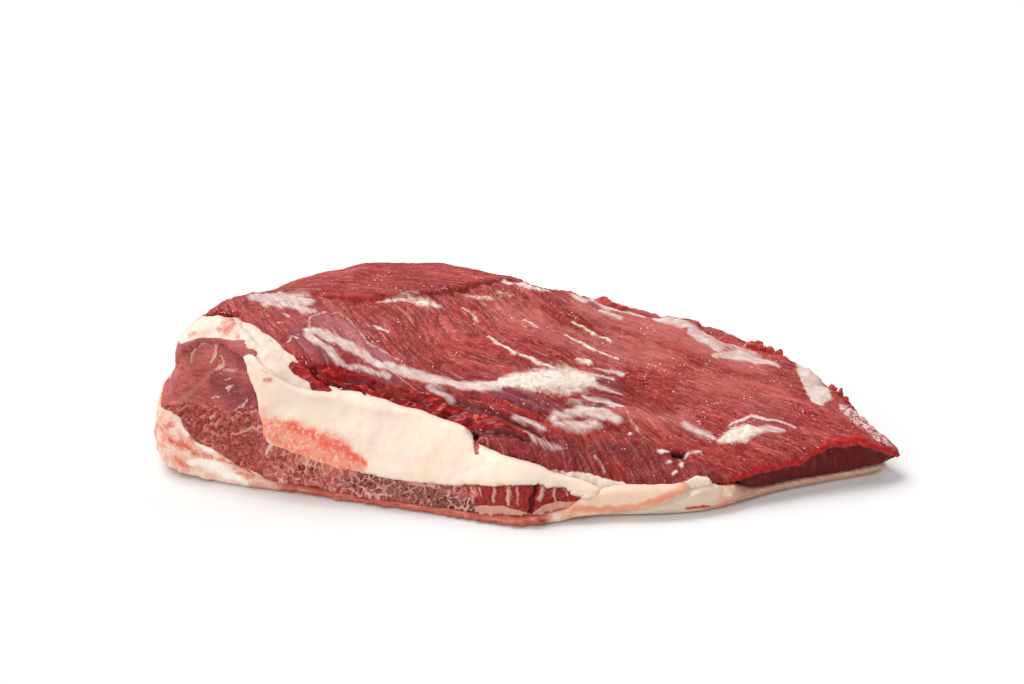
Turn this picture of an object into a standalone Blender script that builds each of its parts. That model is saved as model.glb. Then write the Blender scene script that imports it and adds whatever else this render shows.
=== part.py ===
"""Raw beef brisket, whole and untrimmed: two muscles, the fat seam between them and the fat cap.

It lies on its fat cap with the lean side up. X runs along the brisket from the thick point end
(-X) to the thin flat end (+X), Y runs from the open front edge to the back, and Z is up. The
origin is on the table, under the middle of the bounding box. Units are metres.
"""

from collections import namedtuple

import bmesh
import bpy
from mathutils import Vector

MM = 0.001

# The sections below are measured from a point near the middle of the brisket. This is where the
# middle of its bounding box lies, which becomes the origin.
MIDDLE = Vector((7.5 * MM, -18.5 * MM))

# The layers never touch: each stands this far clear of the one below it.
LAYER_GAP = 0.3 * MM

# Mesh density
RINGS = 46            # cross-sections along the brisket
STEPS_PER_SPAN = 3    # points of a cross-section between two of its corners
SHEET_COLUMNS = 68    # cells of a layer's top surface along X

# The blocks that cut the layers apart reach this far past the ends, and down to this height
CUTTER_MARGIN = 20 * MM
CUTTER_FLOOR = -30 * MM

# Thickness of the layers inside the brisket, away from its edges
CAP_THICKNESS = 6 * MM
SEAM_THICKNESS = 6 * MM
EDGE_WIDTH = 45 * MM  # how far behind the lip the seam and the point take to settle
CAP_EDGE_WIDTH = 27 * MM  # and how far behind the toe the cap does
# Rows of a layer's top surface, as distances behind the lip: dense where it bends
SHEET_ROWS = [v * MM for v in (-60, -36, -24, -12, 0, 8, 16, 24, 34, 45, 80, 120, 170, 230)]
SEAM_SWELL = 4 * MM   # how far the seam fat stands proud of the lean
CAP_SWELL = 2 * MM    # how far the fat cap does

# Shape of every cross-section, beside what its own row below says
TOE_ROUND = 4 * MM       # rounding where the front wall meets the table
TOE_ROUND_SHARE = 0.2    # but never more than this share of a section's depth
WALL_BULGE = 0.10        # how far the front wall bulges out, as a share of its height
TOP_CROWN = 0.04         # how far the top domes up, as a share of its depth
UNDERCUT = 0.02          # how far the back wall leans in at its foot, the same way

# One cross-section: where the front wall meets the table (toe), where it turns into the top
# (lip), the highest line at the back (ridge) and how far the back wall bulges (back).
# "lift" is how far the underside stands off the table, and "edge" how wide the lip's rounding is.
Section = namedtuple("Section", "x toe lip lip_z ridge ridge_z back lift edge")
SECTIONS = [
    Section(*(v * MM for v in row))
    for row in (
        (-228, -50, -44, 20, -16, 22, -6, 12, 4),
        (-222, -62, -50, 48, -10, 50, 14, 6, 7),
        (-212, -72, -50, 72, -8, 73, 28, 3, 9),
        (-194, -80, -44, 84, 2, 84, 40, 1, 10),
        (-164, -91, -63, 80, 38, 85, 66, 0, 12),
        (-134, -98, -70, 73, 62, 88, 88, 0, 12),
        (-100, -111, -77, 62, 73, 90, 99, 0, 12),
        (-40, -130, -97, 45, 75, 87.5, 103, 0, 10),
        (6, -144, -123, 33, 60, 82, 90, 0, 8),
        (52, -131, -123, 22, 53, 72, 79, 0, 6),
        (114, -124, -121, 18, 41, 60, 62, 0, 4),
        (165, -96, -96, 25, 25, 48, 43, 0, 3),
        (205, -79, -82, 27, -8, 35, 10, 0, 3),
        (228, -71, -78, 25, -50, 26, -38, 2, 3),
        (243, -69, -73, 16, -66, 16, -62, 9, 1.5),
    )
]


def section_value(name, x):
    """A Section's value at x: a smooth curve through the stations."""
    rows = SECTIONS
    x = min(max(x, rows[0].x), rows[-1].x)
    i = max(k for k in range(len(rows) - 1) if rows[k].x <= x)
    left, right = rows[i], rows[i + 1]
    span = right.x - left.x

    def slope(k):
        before, after = rows[max(k - 1, 0)], rows[min(k + 1, len(rows) - 1)]
        return (getattr(after, name) - getattr(before, name)) / (after.x - before.x)

    t = (x - left.x) / span
    return (
        (2 * t**3 - 3 * t**2 + 1) * getattr(left, name)
        + (t**3 - 2 * t**2 + t) * span * slope(i)
        + (3 * t**2 - 2 * t**3) * getattr(right, name)
        + (t**3 - t**2) * span * slope(i + 1)
    )


def section_at(x):
    return Section(x, *(section_value(name, x) for name in Section._fields[1:]))


def mix(a, b, t):
    return a + (b - a) * t


def ease(low, high, value):
    """0 below low, 1 above high, and a smooth S between them."""
    t = min(max((value - low) / (high - low), 0), 1)
    return t * t * (3 - 2 * t)


def corners(s):
    """The corners that a cross-section is rounded from, as (y, z), from the toe upwards."""
    toe_round = min(TOE_ROUND, TOE_ROUND_SHARE * (s.back - s.toe))
    toe, lip = Vector((s.toe, s.lift)), Vector((s.lip, s.lip_z))
    ridge = Vector((s.ridge, s.ridge_z))
    height = s.ridge_z - s.lift
    rise, run = (lip - toe), (ridge - lip)
    bulge = Vector((-WALL_BULGE * rise.length, 0))
    crown = Vector((0, TOP_CROWN * run.length))
    front_wall = [
        toe + Vector((toe_round, 0)),
        toe + rise.normalized() * toe_round,
        toe + rise / 2 + bulge,
        lip - rise.normalized() * s.edge,
    ]
    top = [
        lip + run.normalized() * s.edge,
        lip + run / 3 + crown,
        lip + run * 2 / 3 + crown,
    ]
    # The ridge's two corners stand a little high, so that the rounded curve passes through it.
    back_wall = [
        ridge + Vector((-0.2, 0.06)) * height,
        ridge + Vector((0.12, -0.02)) * height,
        Vector((s.back, s.lift + 0.55 * height)),
        Vector((s.back - UNDERCUT * run.length, s.lift + 0.2 * height)),
    ]
    underside = [Vector((mix(s.toe, s.back, t), s.lift)) for t in (0.88, 0.5)]
    return front_wall + top + back_wall + underside


def rounded(polygon, steps):
    """The closed quadratic B-spline of a polygon of corners."""
    count = len(polygon)
    points = []
    for i, corner in enumerate(polygon):
        start = (polygon[i - 1] + corner) / 2
        end = (corner + polygon[(i + 1) % count]) / 2
        for k in range(steps):
            t = k / steps
            points.append(start * (1 - t) ** 2 + corner * 2 * t * (1 - t) + end * t**2)
    return points


def line(*points):
    """Points (x, height) of a line along the brisket, given in mm."""
    return [(x * MM, height * MM) for x, height in points]


# Where the layers show on the open front wall: the top of the fat cap, which curls up at the
# thick end and folds up again under the flat; the top of the point muscle; and the top of the
# seam fat, a slab that ends in a blunt lobe near x = -25 and runs out to the right.
CAP_EDGE = line((-228, 31), (-208, 23), (-176, 15), (-150, 6), (-110, 4), (-20, 4), (29, 7),
                (44, 13), (60, 17), (114, 16.5), (138, 13.5), (146, 5))
POINT_EDGE = line((-228, 40), (-219, 62), (-208, 74), (-194, 80), (-176, 79), (-165, 74),
                  (-157, 58), (-150, 30), (-130, 24), (-102, 19.5), (-44, 17), (-20, 20),
                  (6, 23), (29, 20), (44, 13), (60, 5), (84, 0))
SEAM_EDGE = line((-228, 46), (-219, 70), (-208, 88), (-194, 100), (-176, 94), (-150, 81),
                 (-102, 57), (-69, 50.5), (-32, 46), (-20, 37), (6, 32.5), (29, 25),
                 (60, 15), (84, 6), (114, 0))
# How high the point muscle reaches inside the brisket, behind the front wall
POINT_INNER = line((-228, 40), (-219, 56), (-208, 66), (-176, 78), (-150, 62), (-102, 40),
                   (-32, 26), (6, 15), (60, 0))


def height_along(points, x):
    """The height of a line at x, easing from point to point."""
    x = min(max(x, points[0][0]), points[-1][0])
    i = max(k for k in range(len(points) - 1) if points[k][0] <= x)
    (left, low), (right, high) = points[i], points[i + 1]
    return mix(low, high, ease(left, right, x))


def cap_top(x, y):
    behind_toe = y - section_value("toe", x)
    return mix(height_along(CAP_EDGE, x), CAP_THICKNESS, ease(0, CAP_EDGE_WIDTH, behind_toe))


def point_top(x, y):
    behind_lip = y - section_value("lip", x)
    inner = height_along(POINT_INNER, x)
    return mix(height_along(POINT_EDGE, x), inner, ease(0, EDGE_WIDTH, behind_lip))


def seam_top(x, y):
    behind_lip = y - section_value("lip", x)
    inner = height_along(POINT_INNER, x) + SEAM_THICKNESS
    return mix(height_along(SEAM_EDGE, x), inner, ease(0, EDGE_WIDTH, behind_lip))


def ring_positions():
    """Places of the cross-sections along X, closer together towards both ends."""
    first, last = SECTIONS[0].x, SECTIONS[-1].x
    for i in range(RINGS):
        t = i / (RINGS - 1)
        yield mix(first, last, (t + ease(0, 1, t)) / 2)


def new_object(name, bm):
    """An object of a finished bmesh, moved so that the origin is under the brisket's middle."""
    bmesh.ops.translate(bm, verts=bm.verts, vec=(-MIDDLE.x, -MIDDLE.y, 0))
    mesh = bpy.data.meshes.new(name)
    bm.to_mesh(mesh)
    bm.free()
    obj = bpy.data.objects.new(name, mesh)
    bpy.context.scene.collection.objects.link(obj)
    return obj


def whole_form(name, swell=0.0):
    """The outside of the brisket, lofted through its cross-sections. It stands "swell" further
    out all round, for the fat that bulges past the meat."""
    bm = bmesh.new()
    rings = []
    for x in ring_positions():
        outline = rounded(corners(section_at(x)), STEPS_PER_SPAN)
        middle = sum(outline, Vector((0, 0))) / len(outline)
        verts = []
        for p in outline:
            out = (p - middle).normalized() * swell
            verts.append(bm.verts.new((x, p.x + out.x, max(p.y + out.y, 0))))
        rings.append([bm.edges.new((a, b)) for a, b in zip(verts, verts[1:] + verts[:1])])
    for near, far in zip(rings, rings[1:]):
        bmesh.ops.bridge_loops(bm, edges=near + far)
    for end in (rings[0], rings[-1]):
        bmesh.ops.contextual_create(bm, geom=end)
    bmesh.ops.recalc_face_normals(bm, faces=bm.faces)
    return new_object(name, bm)


def below(name, top, raised=0.0):
    """A block that reaches up to a layer's top surface, to cut the layers apart with."""
    first, last = SECTIONS[0].x - CUTTER_MARGIN, SECTIONS[-1].x + CUTTER_MARGIN
    rows = len(SHEET_ROWS) - 1
    bm = bmesh.new()
    bmesh.ops.create_grid(bm, x_segments=SHEET_COLUMNS, y_segments=rows, size=0.5)
    for v in bm.verts:
        x = mix(first, last, v.co.x + 0.5)
        y = section_value("lip", x) + SHEET_ROWS[round((v.co.y + 0.5) * rows)]
        v.co = (x, y, top(x, y) + raised)
    bmesh.ops.triangulate(bm, faces=bm.faces, quad_method="FIXED")
    rim = [e for e in bm.edges if e.is_boundary]
    made = bmesh.ops.extrude_edge_only(bm, edges=rim)["geom"]
    skirt = [g for g in made if isinstance(g, bmesh.types.BMVert)]
    for v in skirt:
        v.co.z = CUTTER_FLOOR
    bmesh.ops.contextual_create(bm, geom=[e for e in bm.edges if e.is_boundary])
    bmesh.ops.recalc_face_normals(bm, faces=bm.faces)
    cutter = new_object(name, bm)
    cutter.hide_render = True
    cutter.display_type = "WIRE"
    return cutter


def cut(obj, cutter, operation):
    modifier = obj.modifiers.new(f"{operation} {cutter.name}", "BOOLEAN")
    modifier.operation = operation
    modifier.object = cutter
    modifier.solver = "EXACT"


def flesh(name, colour, roughness):
    """A wet, uncooked surface: no metal in it, and a sheen from its roughness."""
    material = bpy.data.materials.new(name)
    material.use_nodes = True
    shader = material.node_tree.nodes["Principled BSDF"]
    shader.inputs["Base Color"].default_value = (*colour, 1)
    shader.inputs["Roughness"].default_value = roughness
    shader.inputs["Metallic"].default_value = 0
    return material


def main():
    for obj in list(bpy.data.objects):
        bpy.data.objects.remove(obj)

    cap_cutter = below("below_cap_top", cap_top)
    cap_clear = below("below_cap_top_clear", cap_top, LAYER_GAP)
    point_cutter = below("below_point_top", point_top)
    point_clear = below("below_point_top_clear", point_top, LAYER_GAP)
    seam_cutter = below("below_seam_top", seam_top)
    seam_clear = below("below_seam_top_clear", seam_top, LAYER_GAP)

    fat_cap = whole_form("fat_cap", swell=CAP_SWELL)
    fat_cap.data.materials.append(flesh("fat_cap", (0.75, 0.48, 0.36), 0.45))
    cut(fat_cap, cap_cutter, "INTERSECT")

    point_muscle = whole_form("point_muscle")
    point_muscle.data.materials.append(flesh("coarse_lean", (0.38, 0.09, 0.07), 0.4))
    cut(point_muscle, cap_clear, "DIFFERENCE")
    cut(point_muscle, point_cutter, "INTERSECT")

    seam_fat = whole_form("seam_fat", swell=SEAM_SWELL)
    seam_fat.data.materials.append(flesh("hard_fat", (0.92, 0.78, 0.60), 0.5))
    cut(seam_fat, cap_clear, "DIFFERENCE")
    cut(seam_fat, point_clear, "DIFFERENCE")
    cut(seam_fat, seam_cutter, "INTERSECT")

    flat_muscle = whole_form("flat_muscle")
    flat_muscle.data.materials.append(flesh("fine_lean", (0.40, 0.08, 0.07), 0.35))
    cut(flat_muscle, cap_clear, "DIFFERENCE")
    cut(flat_muscle, point_clear, "DIFFERENCE")
    cut(flat_muscle, seam_clear, "DIFFERENCE")


main()
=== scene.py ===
# %% [markdown]
# # A whole raw beef brisket
# A brisket is two muscles with a seam of hard fat between them, lying on a cap of softer fat.
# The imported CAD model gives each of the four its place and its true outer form. This script
# copies those forms, makes them fine enough to carve, and carves the surface that raw meat has:
# bundles of fibre on the lean side, crumbs where the coarse muscle is cut across, soft lumps in
# the fat. Everything that stands out by more than a hair is carved in the mesh, and only the
# finest fibre is left to the materials.

# %% Load the frame
import math
from types import SimpleNamespace

import bmesh
import bpy
import numpy as np
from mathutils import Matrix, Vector, noise
from mathutils.bvhtree import BVHTree


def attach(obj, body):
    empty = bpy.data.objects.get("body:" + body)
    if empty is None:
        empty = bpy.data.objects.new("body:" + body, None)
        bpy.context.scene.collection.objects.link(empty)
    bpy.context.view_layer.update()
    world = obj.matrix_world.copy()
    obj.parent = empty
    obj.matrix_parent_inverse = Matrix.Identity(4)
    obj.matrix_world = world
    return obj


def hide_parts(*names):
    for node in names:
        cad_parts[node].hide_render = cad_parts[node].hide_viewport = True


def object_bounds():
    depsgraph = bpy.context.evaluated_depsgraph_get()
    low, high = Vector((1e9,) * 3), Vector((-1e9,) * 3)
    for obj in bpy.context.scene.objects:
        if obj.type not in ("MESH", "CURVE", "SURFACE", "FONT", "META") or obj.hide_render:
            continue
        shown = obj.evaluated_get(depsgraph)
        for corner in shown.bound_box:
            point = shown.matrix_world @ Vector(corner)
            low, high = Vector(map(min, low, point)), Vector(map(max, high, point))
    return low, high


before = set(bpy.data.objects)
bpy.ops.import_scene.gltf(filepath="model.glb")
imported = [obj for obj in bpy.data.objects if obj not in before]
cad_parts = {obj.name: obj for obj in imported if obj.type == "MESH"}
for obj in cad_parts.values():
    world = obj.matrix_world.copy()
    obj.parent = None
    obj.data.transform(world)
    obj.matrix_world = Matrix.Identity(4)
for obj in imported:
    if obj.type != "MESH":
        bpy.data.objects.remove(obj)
cad_low, cad_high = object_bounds()
size = cad_high - cad_low
middle = (cad_low + cad_high) / 2
print("CAD box in mm:", [round(v * 1000, 1) for v in size])

# %% [markdown]
# ## Working in millimetres
# Meat is easiest to think of in millimetres: a fibre bundle is 6 or 7 of them wide. The helpers
# below read a mesh's points as rows of x, y and z in millimetres, counted from the middle of the
# brisket's footprint, and write them back in metres.

# %% Points in and out of a mesh
MM = 0.001
FOOT = np.array((middle.x, middle.y, 0))


def points_of(bm):
    """The mesh's points in mm, as rows of x, y, z from the middle of the footprint."""
    return (np.array([v.co for v in bm.verts]) - FOOT) / MM


def normals_of(bm):
    bm.normal_update()
    return np.array([v.normal for v in bm.verts])


def move_points(bm, points):
    """Puts the mesh's points at these places, and lets none go below the table."""
    places = points * MM + FOOT
    places[:, 2] = np.maximum(places[:, 2], 0)
    for v, place in zip(bm.verts, places):
        v.co = place

# %% [markdown]
# ## Smooth steps, noise and strokes
# Three tools do all of the carving and painting. A smooth step turns a distance into a soft
# edge. Noise gives every lump and fibre its own shape; stretched along one direction it makes
# strands, and in cells it makes crumbs and bundles. A stroke is a short line with a width, like
# one pass of a brush: how close each point lies to it says how much paint the point gets.

# %% Smooth steps and noise
LUMP_SHIFT, CELL_SHIFT = 17.3, 9.7     # how far apart in the noise two seeds lie
TONE_SPREAD = 31.7                     # takes neighbouring cells to unlike tones


def step(low, high, value):
    """0 below low, 1 above high, and a smooth S between them."""
    t = np.clip((value - low) / (high - low), 0, 1)
    return t * t * (3 - 2 * t)


def blend(a, b, t):
    return a + (b - a) * t


def lumps(points, grain, octaves=2, seed=0):
    """Noise from about -1 to 1. grain is the size of a lump in mm: one number, or x, y and z."""
    scaled = points / np.array(grain, dtype=float) + seed * LUMP_SHIFT
    return np.array([noise.fractal(Vector(p), 1.0, 2.0, octaves) for p in scaled])


def cells(points, size_mm, seed=0):
    """Round cells packed together. For each point: its distance to the middle of its cell, how
    far it is from the border to the next cell, and a random number that its cell has."""
    nearest, border, tone = [], [], []
    for p in points / size_mm + seed * CELL_SHIFT:
        distance, middles = noise.voronoi(Vector(p))
        nearest.append(distance[0])
        border.append(distance[1] - distance[0])
        tone.append(noise.cell(middles[0] * TONE_SPREAD))
    return np.array(nearest), np.array(border), np.array(tone)


# %% Strokes
def stroke(places, path, soft=0.3):
    """How near each place is to a path of (u, v, half-width): 1 on it, 0 past its soft edge."""
    share = np.zeros(len(places))
    for (u0, v0, r0), (u1, v1, r1) in zip(path, path[1:]):
        start = np.array((u0, v0))
        run = np.array((u1 - u0, v1 - v0))
        t = np.clip((places - start) @ run / (run @ run), 0, 1)
        away = np.linalg.norm(places - start - t[:, None] * run, axis=1) / blend(r0, r1, t)
        share = np.maximum(share, step(1 + soft, 1 - soft, away))
    return share


def painted(places, paths, soft=0.3):
    """Several strokes together, each with its strength from 0 to 1."""
    total = np.zeros(len(places))
    for strength, path in paths:
        total = np.maximum(total, strength * stroke(places, path, soft))
    return total


def on_line(x, line):
    """The height of a line of (x, height) points at each x."""
    xs, heights = zip(*line)
    return np.interp(x, xs, heights)

# %% [markdown]
# ## From CAD solid to carving block
# A CAD solid has long thin triangles, which can't be carved. Voxel remeshing wraps the form in
# an even net of squares instead. Only the part of a layer that can be seen needs fine squares,
# so the faces that lie against another layer stay coarse: a ray along each face's normal tells
# them apart, because it meets the neighbour within a few millimetres. The net is then smoothed,
# which takes away the CAD's facets. That shrinks the sharp rims, so they are pulled out again.
# Last, each block is swollen a little, so that the layers press together as real ones do.

# %% Remeshing
NEIGHBOUR = 3.0 * MM      # a face with another layer this close in front of it is hidden
OFF_FACE = 0.1 * MM       # where the ray that looks for that layer starts
ON_TABLE = 2 * MM         # a face this low that looks down lies on the table
LOOKS_DOWN = -0.9
SWELLING = 0.5            # mm


def cad_form(name):
    """A merged copy of a CAD node, as a bmesh."""
    bm = bmesh.new()
    bm.from_mesh(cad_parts[name].data)
    bmesh.ops.remove_doubles(bm, verts=bm.verts, dist=1e-6)
    return bm


def remeshed(bm, voxel):
    """The same form as an even net of squares."""
    mesh = bpy.data.meshes.new("block")
    bm.to_mesh(mesh)
    bm.free()
    block = bpy.data.objects.new("block", mesh)
    bpy.context.scene.collection.objects.link(block)
    modifier = block.modifiers.new("net", "REMESH")
    modifier.mode = "VOXEL"
    modifier.voxel_size = voxel * MM
    net = block.evaluated_get(bpy.context.evaluated_depsgraph_get()).to_mesh()
    fine = bmesh.new()
    fine.from_mesh(net)
    bpy.data.objects.remove(block)
    bpy.data.meshes.remove(mesh)
    return fine


def smooth(bm, times):
    for _ in range(times):
        bmesh.ops.smooth_vert(
            bm, verts=bm.verts, factor=0.5, use_axis_x=True, use_axis_y=True, use_axis_z=True
        )


def refine(bm, faces, cuts):
    """Cuts each side of these squares this many times."""
    edges = list({e for f in faces for e in f.edges})
    bmesh.ops.subdivide_edges(bm, edges=edges, cuts=cuts, use_grid_fill=True)


def pull_out(bm, form, slack=0.4):
    """Moves points that smoothing took further than slack mm from the CAD form back to it."""
    for v in bm.verts:
        near, _, _, distance = form.find_nearest(v.co)
        if distance > slack * MM:
            v.co = near + (v.co - near) * (slack * MM / distance)


def seen_faces(bm, neighbours):
    """The faces with no other layer close in front of them, and not on the table."""
    bm.normal_update()
    seen = []
    for f in bm.faces:
        start = f.calc_center_median() + f.normal * OFF_FACE
        on_table = f.normal.z < LOOKS_DOWN and start.z < ON_TABLE
        if not on_table and not any(t.ray_cast(start, f.normal, NEIGHBOUR)[0] for t in neighbours):
            seen.append(f)
    return seen


trees = {name: BVHTree.FromBMesh(cad_form(name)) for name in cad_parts}


def picked(faces, where):
    """Those of the faces whose centre, in mm, where() says yes to."""
    return [f for f in faces if where((f.calc_center_median() - Vector(FOOT)) / MM)]


def carving_block(name, voxel, cuts, finer=None, also=None):
    """A CAD layer as a net of voxel mm, cut finer where it shows, and also where also() says.
    finer() picks shown faces to cut once more."""
    bm = remeshed(cad_form(name), voxel)
    smooth(bm, 3)
    neighbours = [tree for other, tree in trees.items() if other != name]
    shown = set(seen_faces(bm, neighbours))
    refine(bm, shown | set(picked(bm.faces, also) if also else []), cuts)
    smooth(bm, 4)
    if finer:
        refine(bm, picked(seen_faces(bm, neighbours), finer), 1)
        smooth(bm, 2)
    pull_out(bm, trees[name])
    smooth(bm, 1)
    move_points(bm, points_of(bm) + normals_of(bm) * SWELLING)
    print(name, "carving block:", len(bm.faces), "faces")
    return bm

# %% [markdown]
# ## Ragged rims
# Where two layers meet at the surface, a knife never leaves a clean line: the rim of one layer
# creeps over the next in small tongues. Points of a rim are those close to the next layer whose
# normals don't face it. They close the gap to it, reach on by noise, and stand a little proud.

# %% Let a rim creep over the next layer
def creep(points, normals, neighbour, reach, rim, seed, lump=5.0, proud=0.7, where=None):
    """Moves to add to a layer's points, so that its rim of rim mm reaches over a neighbour."""
    tongues = np.clip(0.35 + lumps(points, lump, 2, seed), 0, 1) * reach
    shift = np.zeros_like(points)
    for i, place in enumerate(points * MM + FOOT):
        if where is not None and where[i] == 0:
            continue
        near, _, _, distance = trees[neighbour].find_nearest(Vector(place), rim * MM)
        if near is None:
            continue
        way = np.array(near - Vector(place)) / max(distance, 1e-6)
        close = step(rim, 0.3 * rim, distance / MM) * (1 if where is None else where[i])
        share = close * step(0.8, 0.3, normals[i] @ way)
        shift[i] = (close * distance / MM + share * tongues[i]) * way + share * proud * normals[i]
    return shift

# %% [markdown]
# ## Finished pieces
# Each piece keeps its values per point, such as how much fat covers it, as named attributes on
# the mesh. A material reads them back by name, so colour and carving always agree.

# %% Turn a carved bmesh into a piece
def finish_piece(name, bm, values, material, node=None, grain=None):
    """Makes the object, writes its values, and rides it on the brisket's one body."""
    bmesh.ops.recalc_face_normals(bm, faces=bm.faces)
    mesh = bpy.data.meshes.new(name)
    bm.to_mesh(mesh)
    bm.free()
    mesh.shade_smooth()
    for key, array in values.items():
        layer = mesh.attributes.new(key, "FLOAT", "POINT")
        layer.data.foreach_set("value", np.asarray(array, dtype=np.float32))
    if grain is not None:
        layer = mesh.attributes.new("grain", "FLOAT_VECTOR", "POINT")
        layer.data.foreach_set("vector", np.asarray(grain, dtype=np.float32).ravel())
    mesh.materials.append(material)
    piece = bpy.data.objects.new(name, mesh)
    bpy.context.scene.collection.objects.link(piece)
    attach(piece, "root")
    if node:
        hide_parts(node)
    triangles = sum(len(p.vertices) - 2 for p in mesh.polygons)
    print(name, "has", triangles, "triangles")


# %% [markdown]
# ## Materials: colours and nodes
# Colours are written as sRGB hex values, as a paint chart gives them, and turned to the linear
# values that a shader works in. One helper adds a node with its settings and its links. The
# surface of meat is one thin thing over another, such as film over fibre, so two more helpers
# work in coats: one breaks up the soft edge of a painted value by noise, and one lays coats of
# colour over one another.

# %% Colour and node helpers
def colour(code):
    """A hex colour such as #c04038 as linear RGBA."""
    channels = [int(code[i : i + 2], 16) / 255 for i in (1, 3, 5)]
    linear = [c / 12.92 if c <= 0.04045 else ((c + 0.055) / 1.055) ** 2.4 for c in channels]
    return (*linear, 1)


def fill(tree, node, inputs):
    """Gives a node's inputs their values, or links them to sockets."""
    for key, value in inputs.items():
        if isinstance(value, bpy.types.NodeSocket):
            tree.links.new(value, node.inputs[key])
        else:
            node.inputs[key].default_value = value


def add(tree, kind, inputs=None, out=0, **settings):
    """Adds a node, gives it settings and inputs (values or sockets), and returns an output."""
    node = tree.nodes.new("ShaderNode" + kind)
    for key, value in settings.items():
        setattr(node, key, value)
    fill(tree, node, inputs or {})
    return node.outputs[out]


def new_material(name):
    """A material with an empty Principled surface: its tree and its shader node."""
    material = bpy.data.materials.new(name)
    material.use_nodes = True
    return material, material.node_tree, material.node_tree.nodes["Principled BSDF"]


def ragged(tree, name, pattern, amount):
    """A painted value whose soft edge is broken up by amount of a pattern."""
    painted_value = add(tree, "Attribute", out=2, attribute_name=name)
    return add(tree, "Math", {0: pattern, 1: amount, 2: painted_value}, operation="MULTIPLY_ADD")


def coats(tree, under, layers):
    """Lays coats of colour over one another. Each coat is (where, low, high, strength, colour):
    absent where the value is low, and at its strength where it is high. where is a socket or
    the name of a painted value, and a colour is a hex value or a socket."""
    under = colour(under) if isinstance(under, str) else under
    for where, low, high, strength, over in layers:
        if isinstance(where, str):
            where = add(tree, "Attribute", out=2, attribute_name=where)
        over = colour(over) if isinstance(over, str) else over
        ends = {0: where, 1: low, 2: high, 3: 0.0, 4: strength}
        share = add(tree, "MapRange", ends, interpolation_type="SMOOTHSTEP")
        under = add(tree, "Mix", {0: share, 6: under, 7: over}, out=2, data_type="RGBA")
    return under


# How far light goes into lean and into fat, and how strongly their wet surface shines.
LEAN_BODY = {
    "Subsurface Weight": 0.08,
    "Subsurface Radius": (1.0, 0.25, 0.18),
    "Subsurface Scale": 2 * MM,
    "IOR": 1.4,
    "Specular IOR Level": 0.25,
}
FAT_BODY = {"Subsurface Scale": 3 * MM, "IOR": 1.44, "Specular IOR Level": 0.35}


# %% [markdown]
# ## Lean meat
# Fine-grained raw lean is wet muscle: bundles of fibre, each in a film so thin that it only
# pales the red. The colour follows the grain in long strands, is darkened by painted shade in
# the grooves, and is broken by threads and flecks of white fat and by painted glints of wet
# light. Light goes a few millimetres into it, which the subsurface value gives, and the wet film
# on top gives a soft sheen. Silverskin and fat lie over it where they were left on; their edges
# are frayed.

# %% Patterns in fine lean
def lean_patterns(tree):
    """The noise that the coats of fine lean share, from 34 mm patches to 1 mm glints."""
    place = add(tree, "TexCoord", out=3)
    grain = add(tree, "Attribute", out=1, attribute_name="grain")

    def along_grain(length, width, detail):
        """Noise drawn out along the fibres, in mm."""
        at = add(tree, "Mapping", {0: grain, 3: (1 / length, 1 / width, 1 / length)})
        return add(tree, "TexNoise", {0: at, "Scale": 1.0, "Detail": detail, "Roughness": 0.55})

    p = SimpleNamespace(place=place)
    p.fibre = along_grain(12, 1.8, 3.0)
    p.hair = along_grain(7, 0.8, 2.0)
    p.thread = along_grain(18, 1.5, 2.0)
    for name, lump, settings in (
        ("patch", 34, {"Detail": 3.0}),
        ("tissue", 3.0, {"Detail": 4.0, "Roughness": 0.72}),
        ("glint", 1.2, {"Detail": 2.0}),
        ("skin", 8, {"Detail": 3.0}),
        ("curl", 5, {"Detail": 2.0, "Distortion": 1.2}),
    ):
        noise_of = {0: place, "Scale": 1 / (lump * MM), **settings}
        setattr(p, name, add(tree, "TexNoise", noise_of))
    return p


# %% Muscle, zones of meat, and what lies on them
def muscle_colour(tree, p):
    """Dark between the strands, paler on them, with slow changes from red to purple-red. The grooves between
    bundles are darkened as painted shade, and pale specks are painted glints.
    """
    return coats(tree, "#b03230", (
        (p.patch, 0.38, 0.62, 1.0, "#a23234"),
        (p.fibre, 0.56, 0.30, 0.80, "#761112"),
        (p.fibre, 0.50, 0.76, 0.55, "#cd5a52"),
        ("tone", 0.50, 0.0, 0.40, "#861617"),
        ("tone", 0.50, 1.0, 0.35, "#cb5a50"),
        (p.tissue, 0.46, 0.28, 0.70, "#6c0f11"),
        (p.tissue, 0.54, 0.76, 0.50, "#d8736a"),
        (p.hair, 0.46, 0.26, 0.45, "#741517"),
        (p.hair, 0.54, 0.76, 0.50, "#dc847a"),
        (p.glint, 0.44, 0.30, 0.30, "#6a1013"),
        # Painted glints: pale specks where the glint noise is high.
        (p.glint, 0.58, 0.74, 0.45, "#e0948a"),
        # Painted shade: darker in the grooves, where the bundles' relief is low.
        ("relief", 0.55, 0.0, 0.80, "#5a0b0d"),
        (p.thread, 0.60, 0.72, 0.50, "#e09a8e"),
    ))


def fat_flecks_and_glints(tree, place):
    """White dots, some of fat and some painted glints of wet light, in loose clusters."""
    dots = add(tree, "TexVoronoi", {0: place, "Scale": 1 / (2.8 * MM), "Randomness": 1.0})
    cluster = add(tree, "TexNoise", {0: place, "Scale": 1 / (15 * MM), "Detail": 1.0})
    dot = add(tree, "MapRange", {0: cluster, 1: 0.46, 2: 0.66, 3: 0.0, 4: 0.22})
    return add(tree, "Math", {0: dot, 1: dots}, operation="SUBTRACT")


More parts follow.
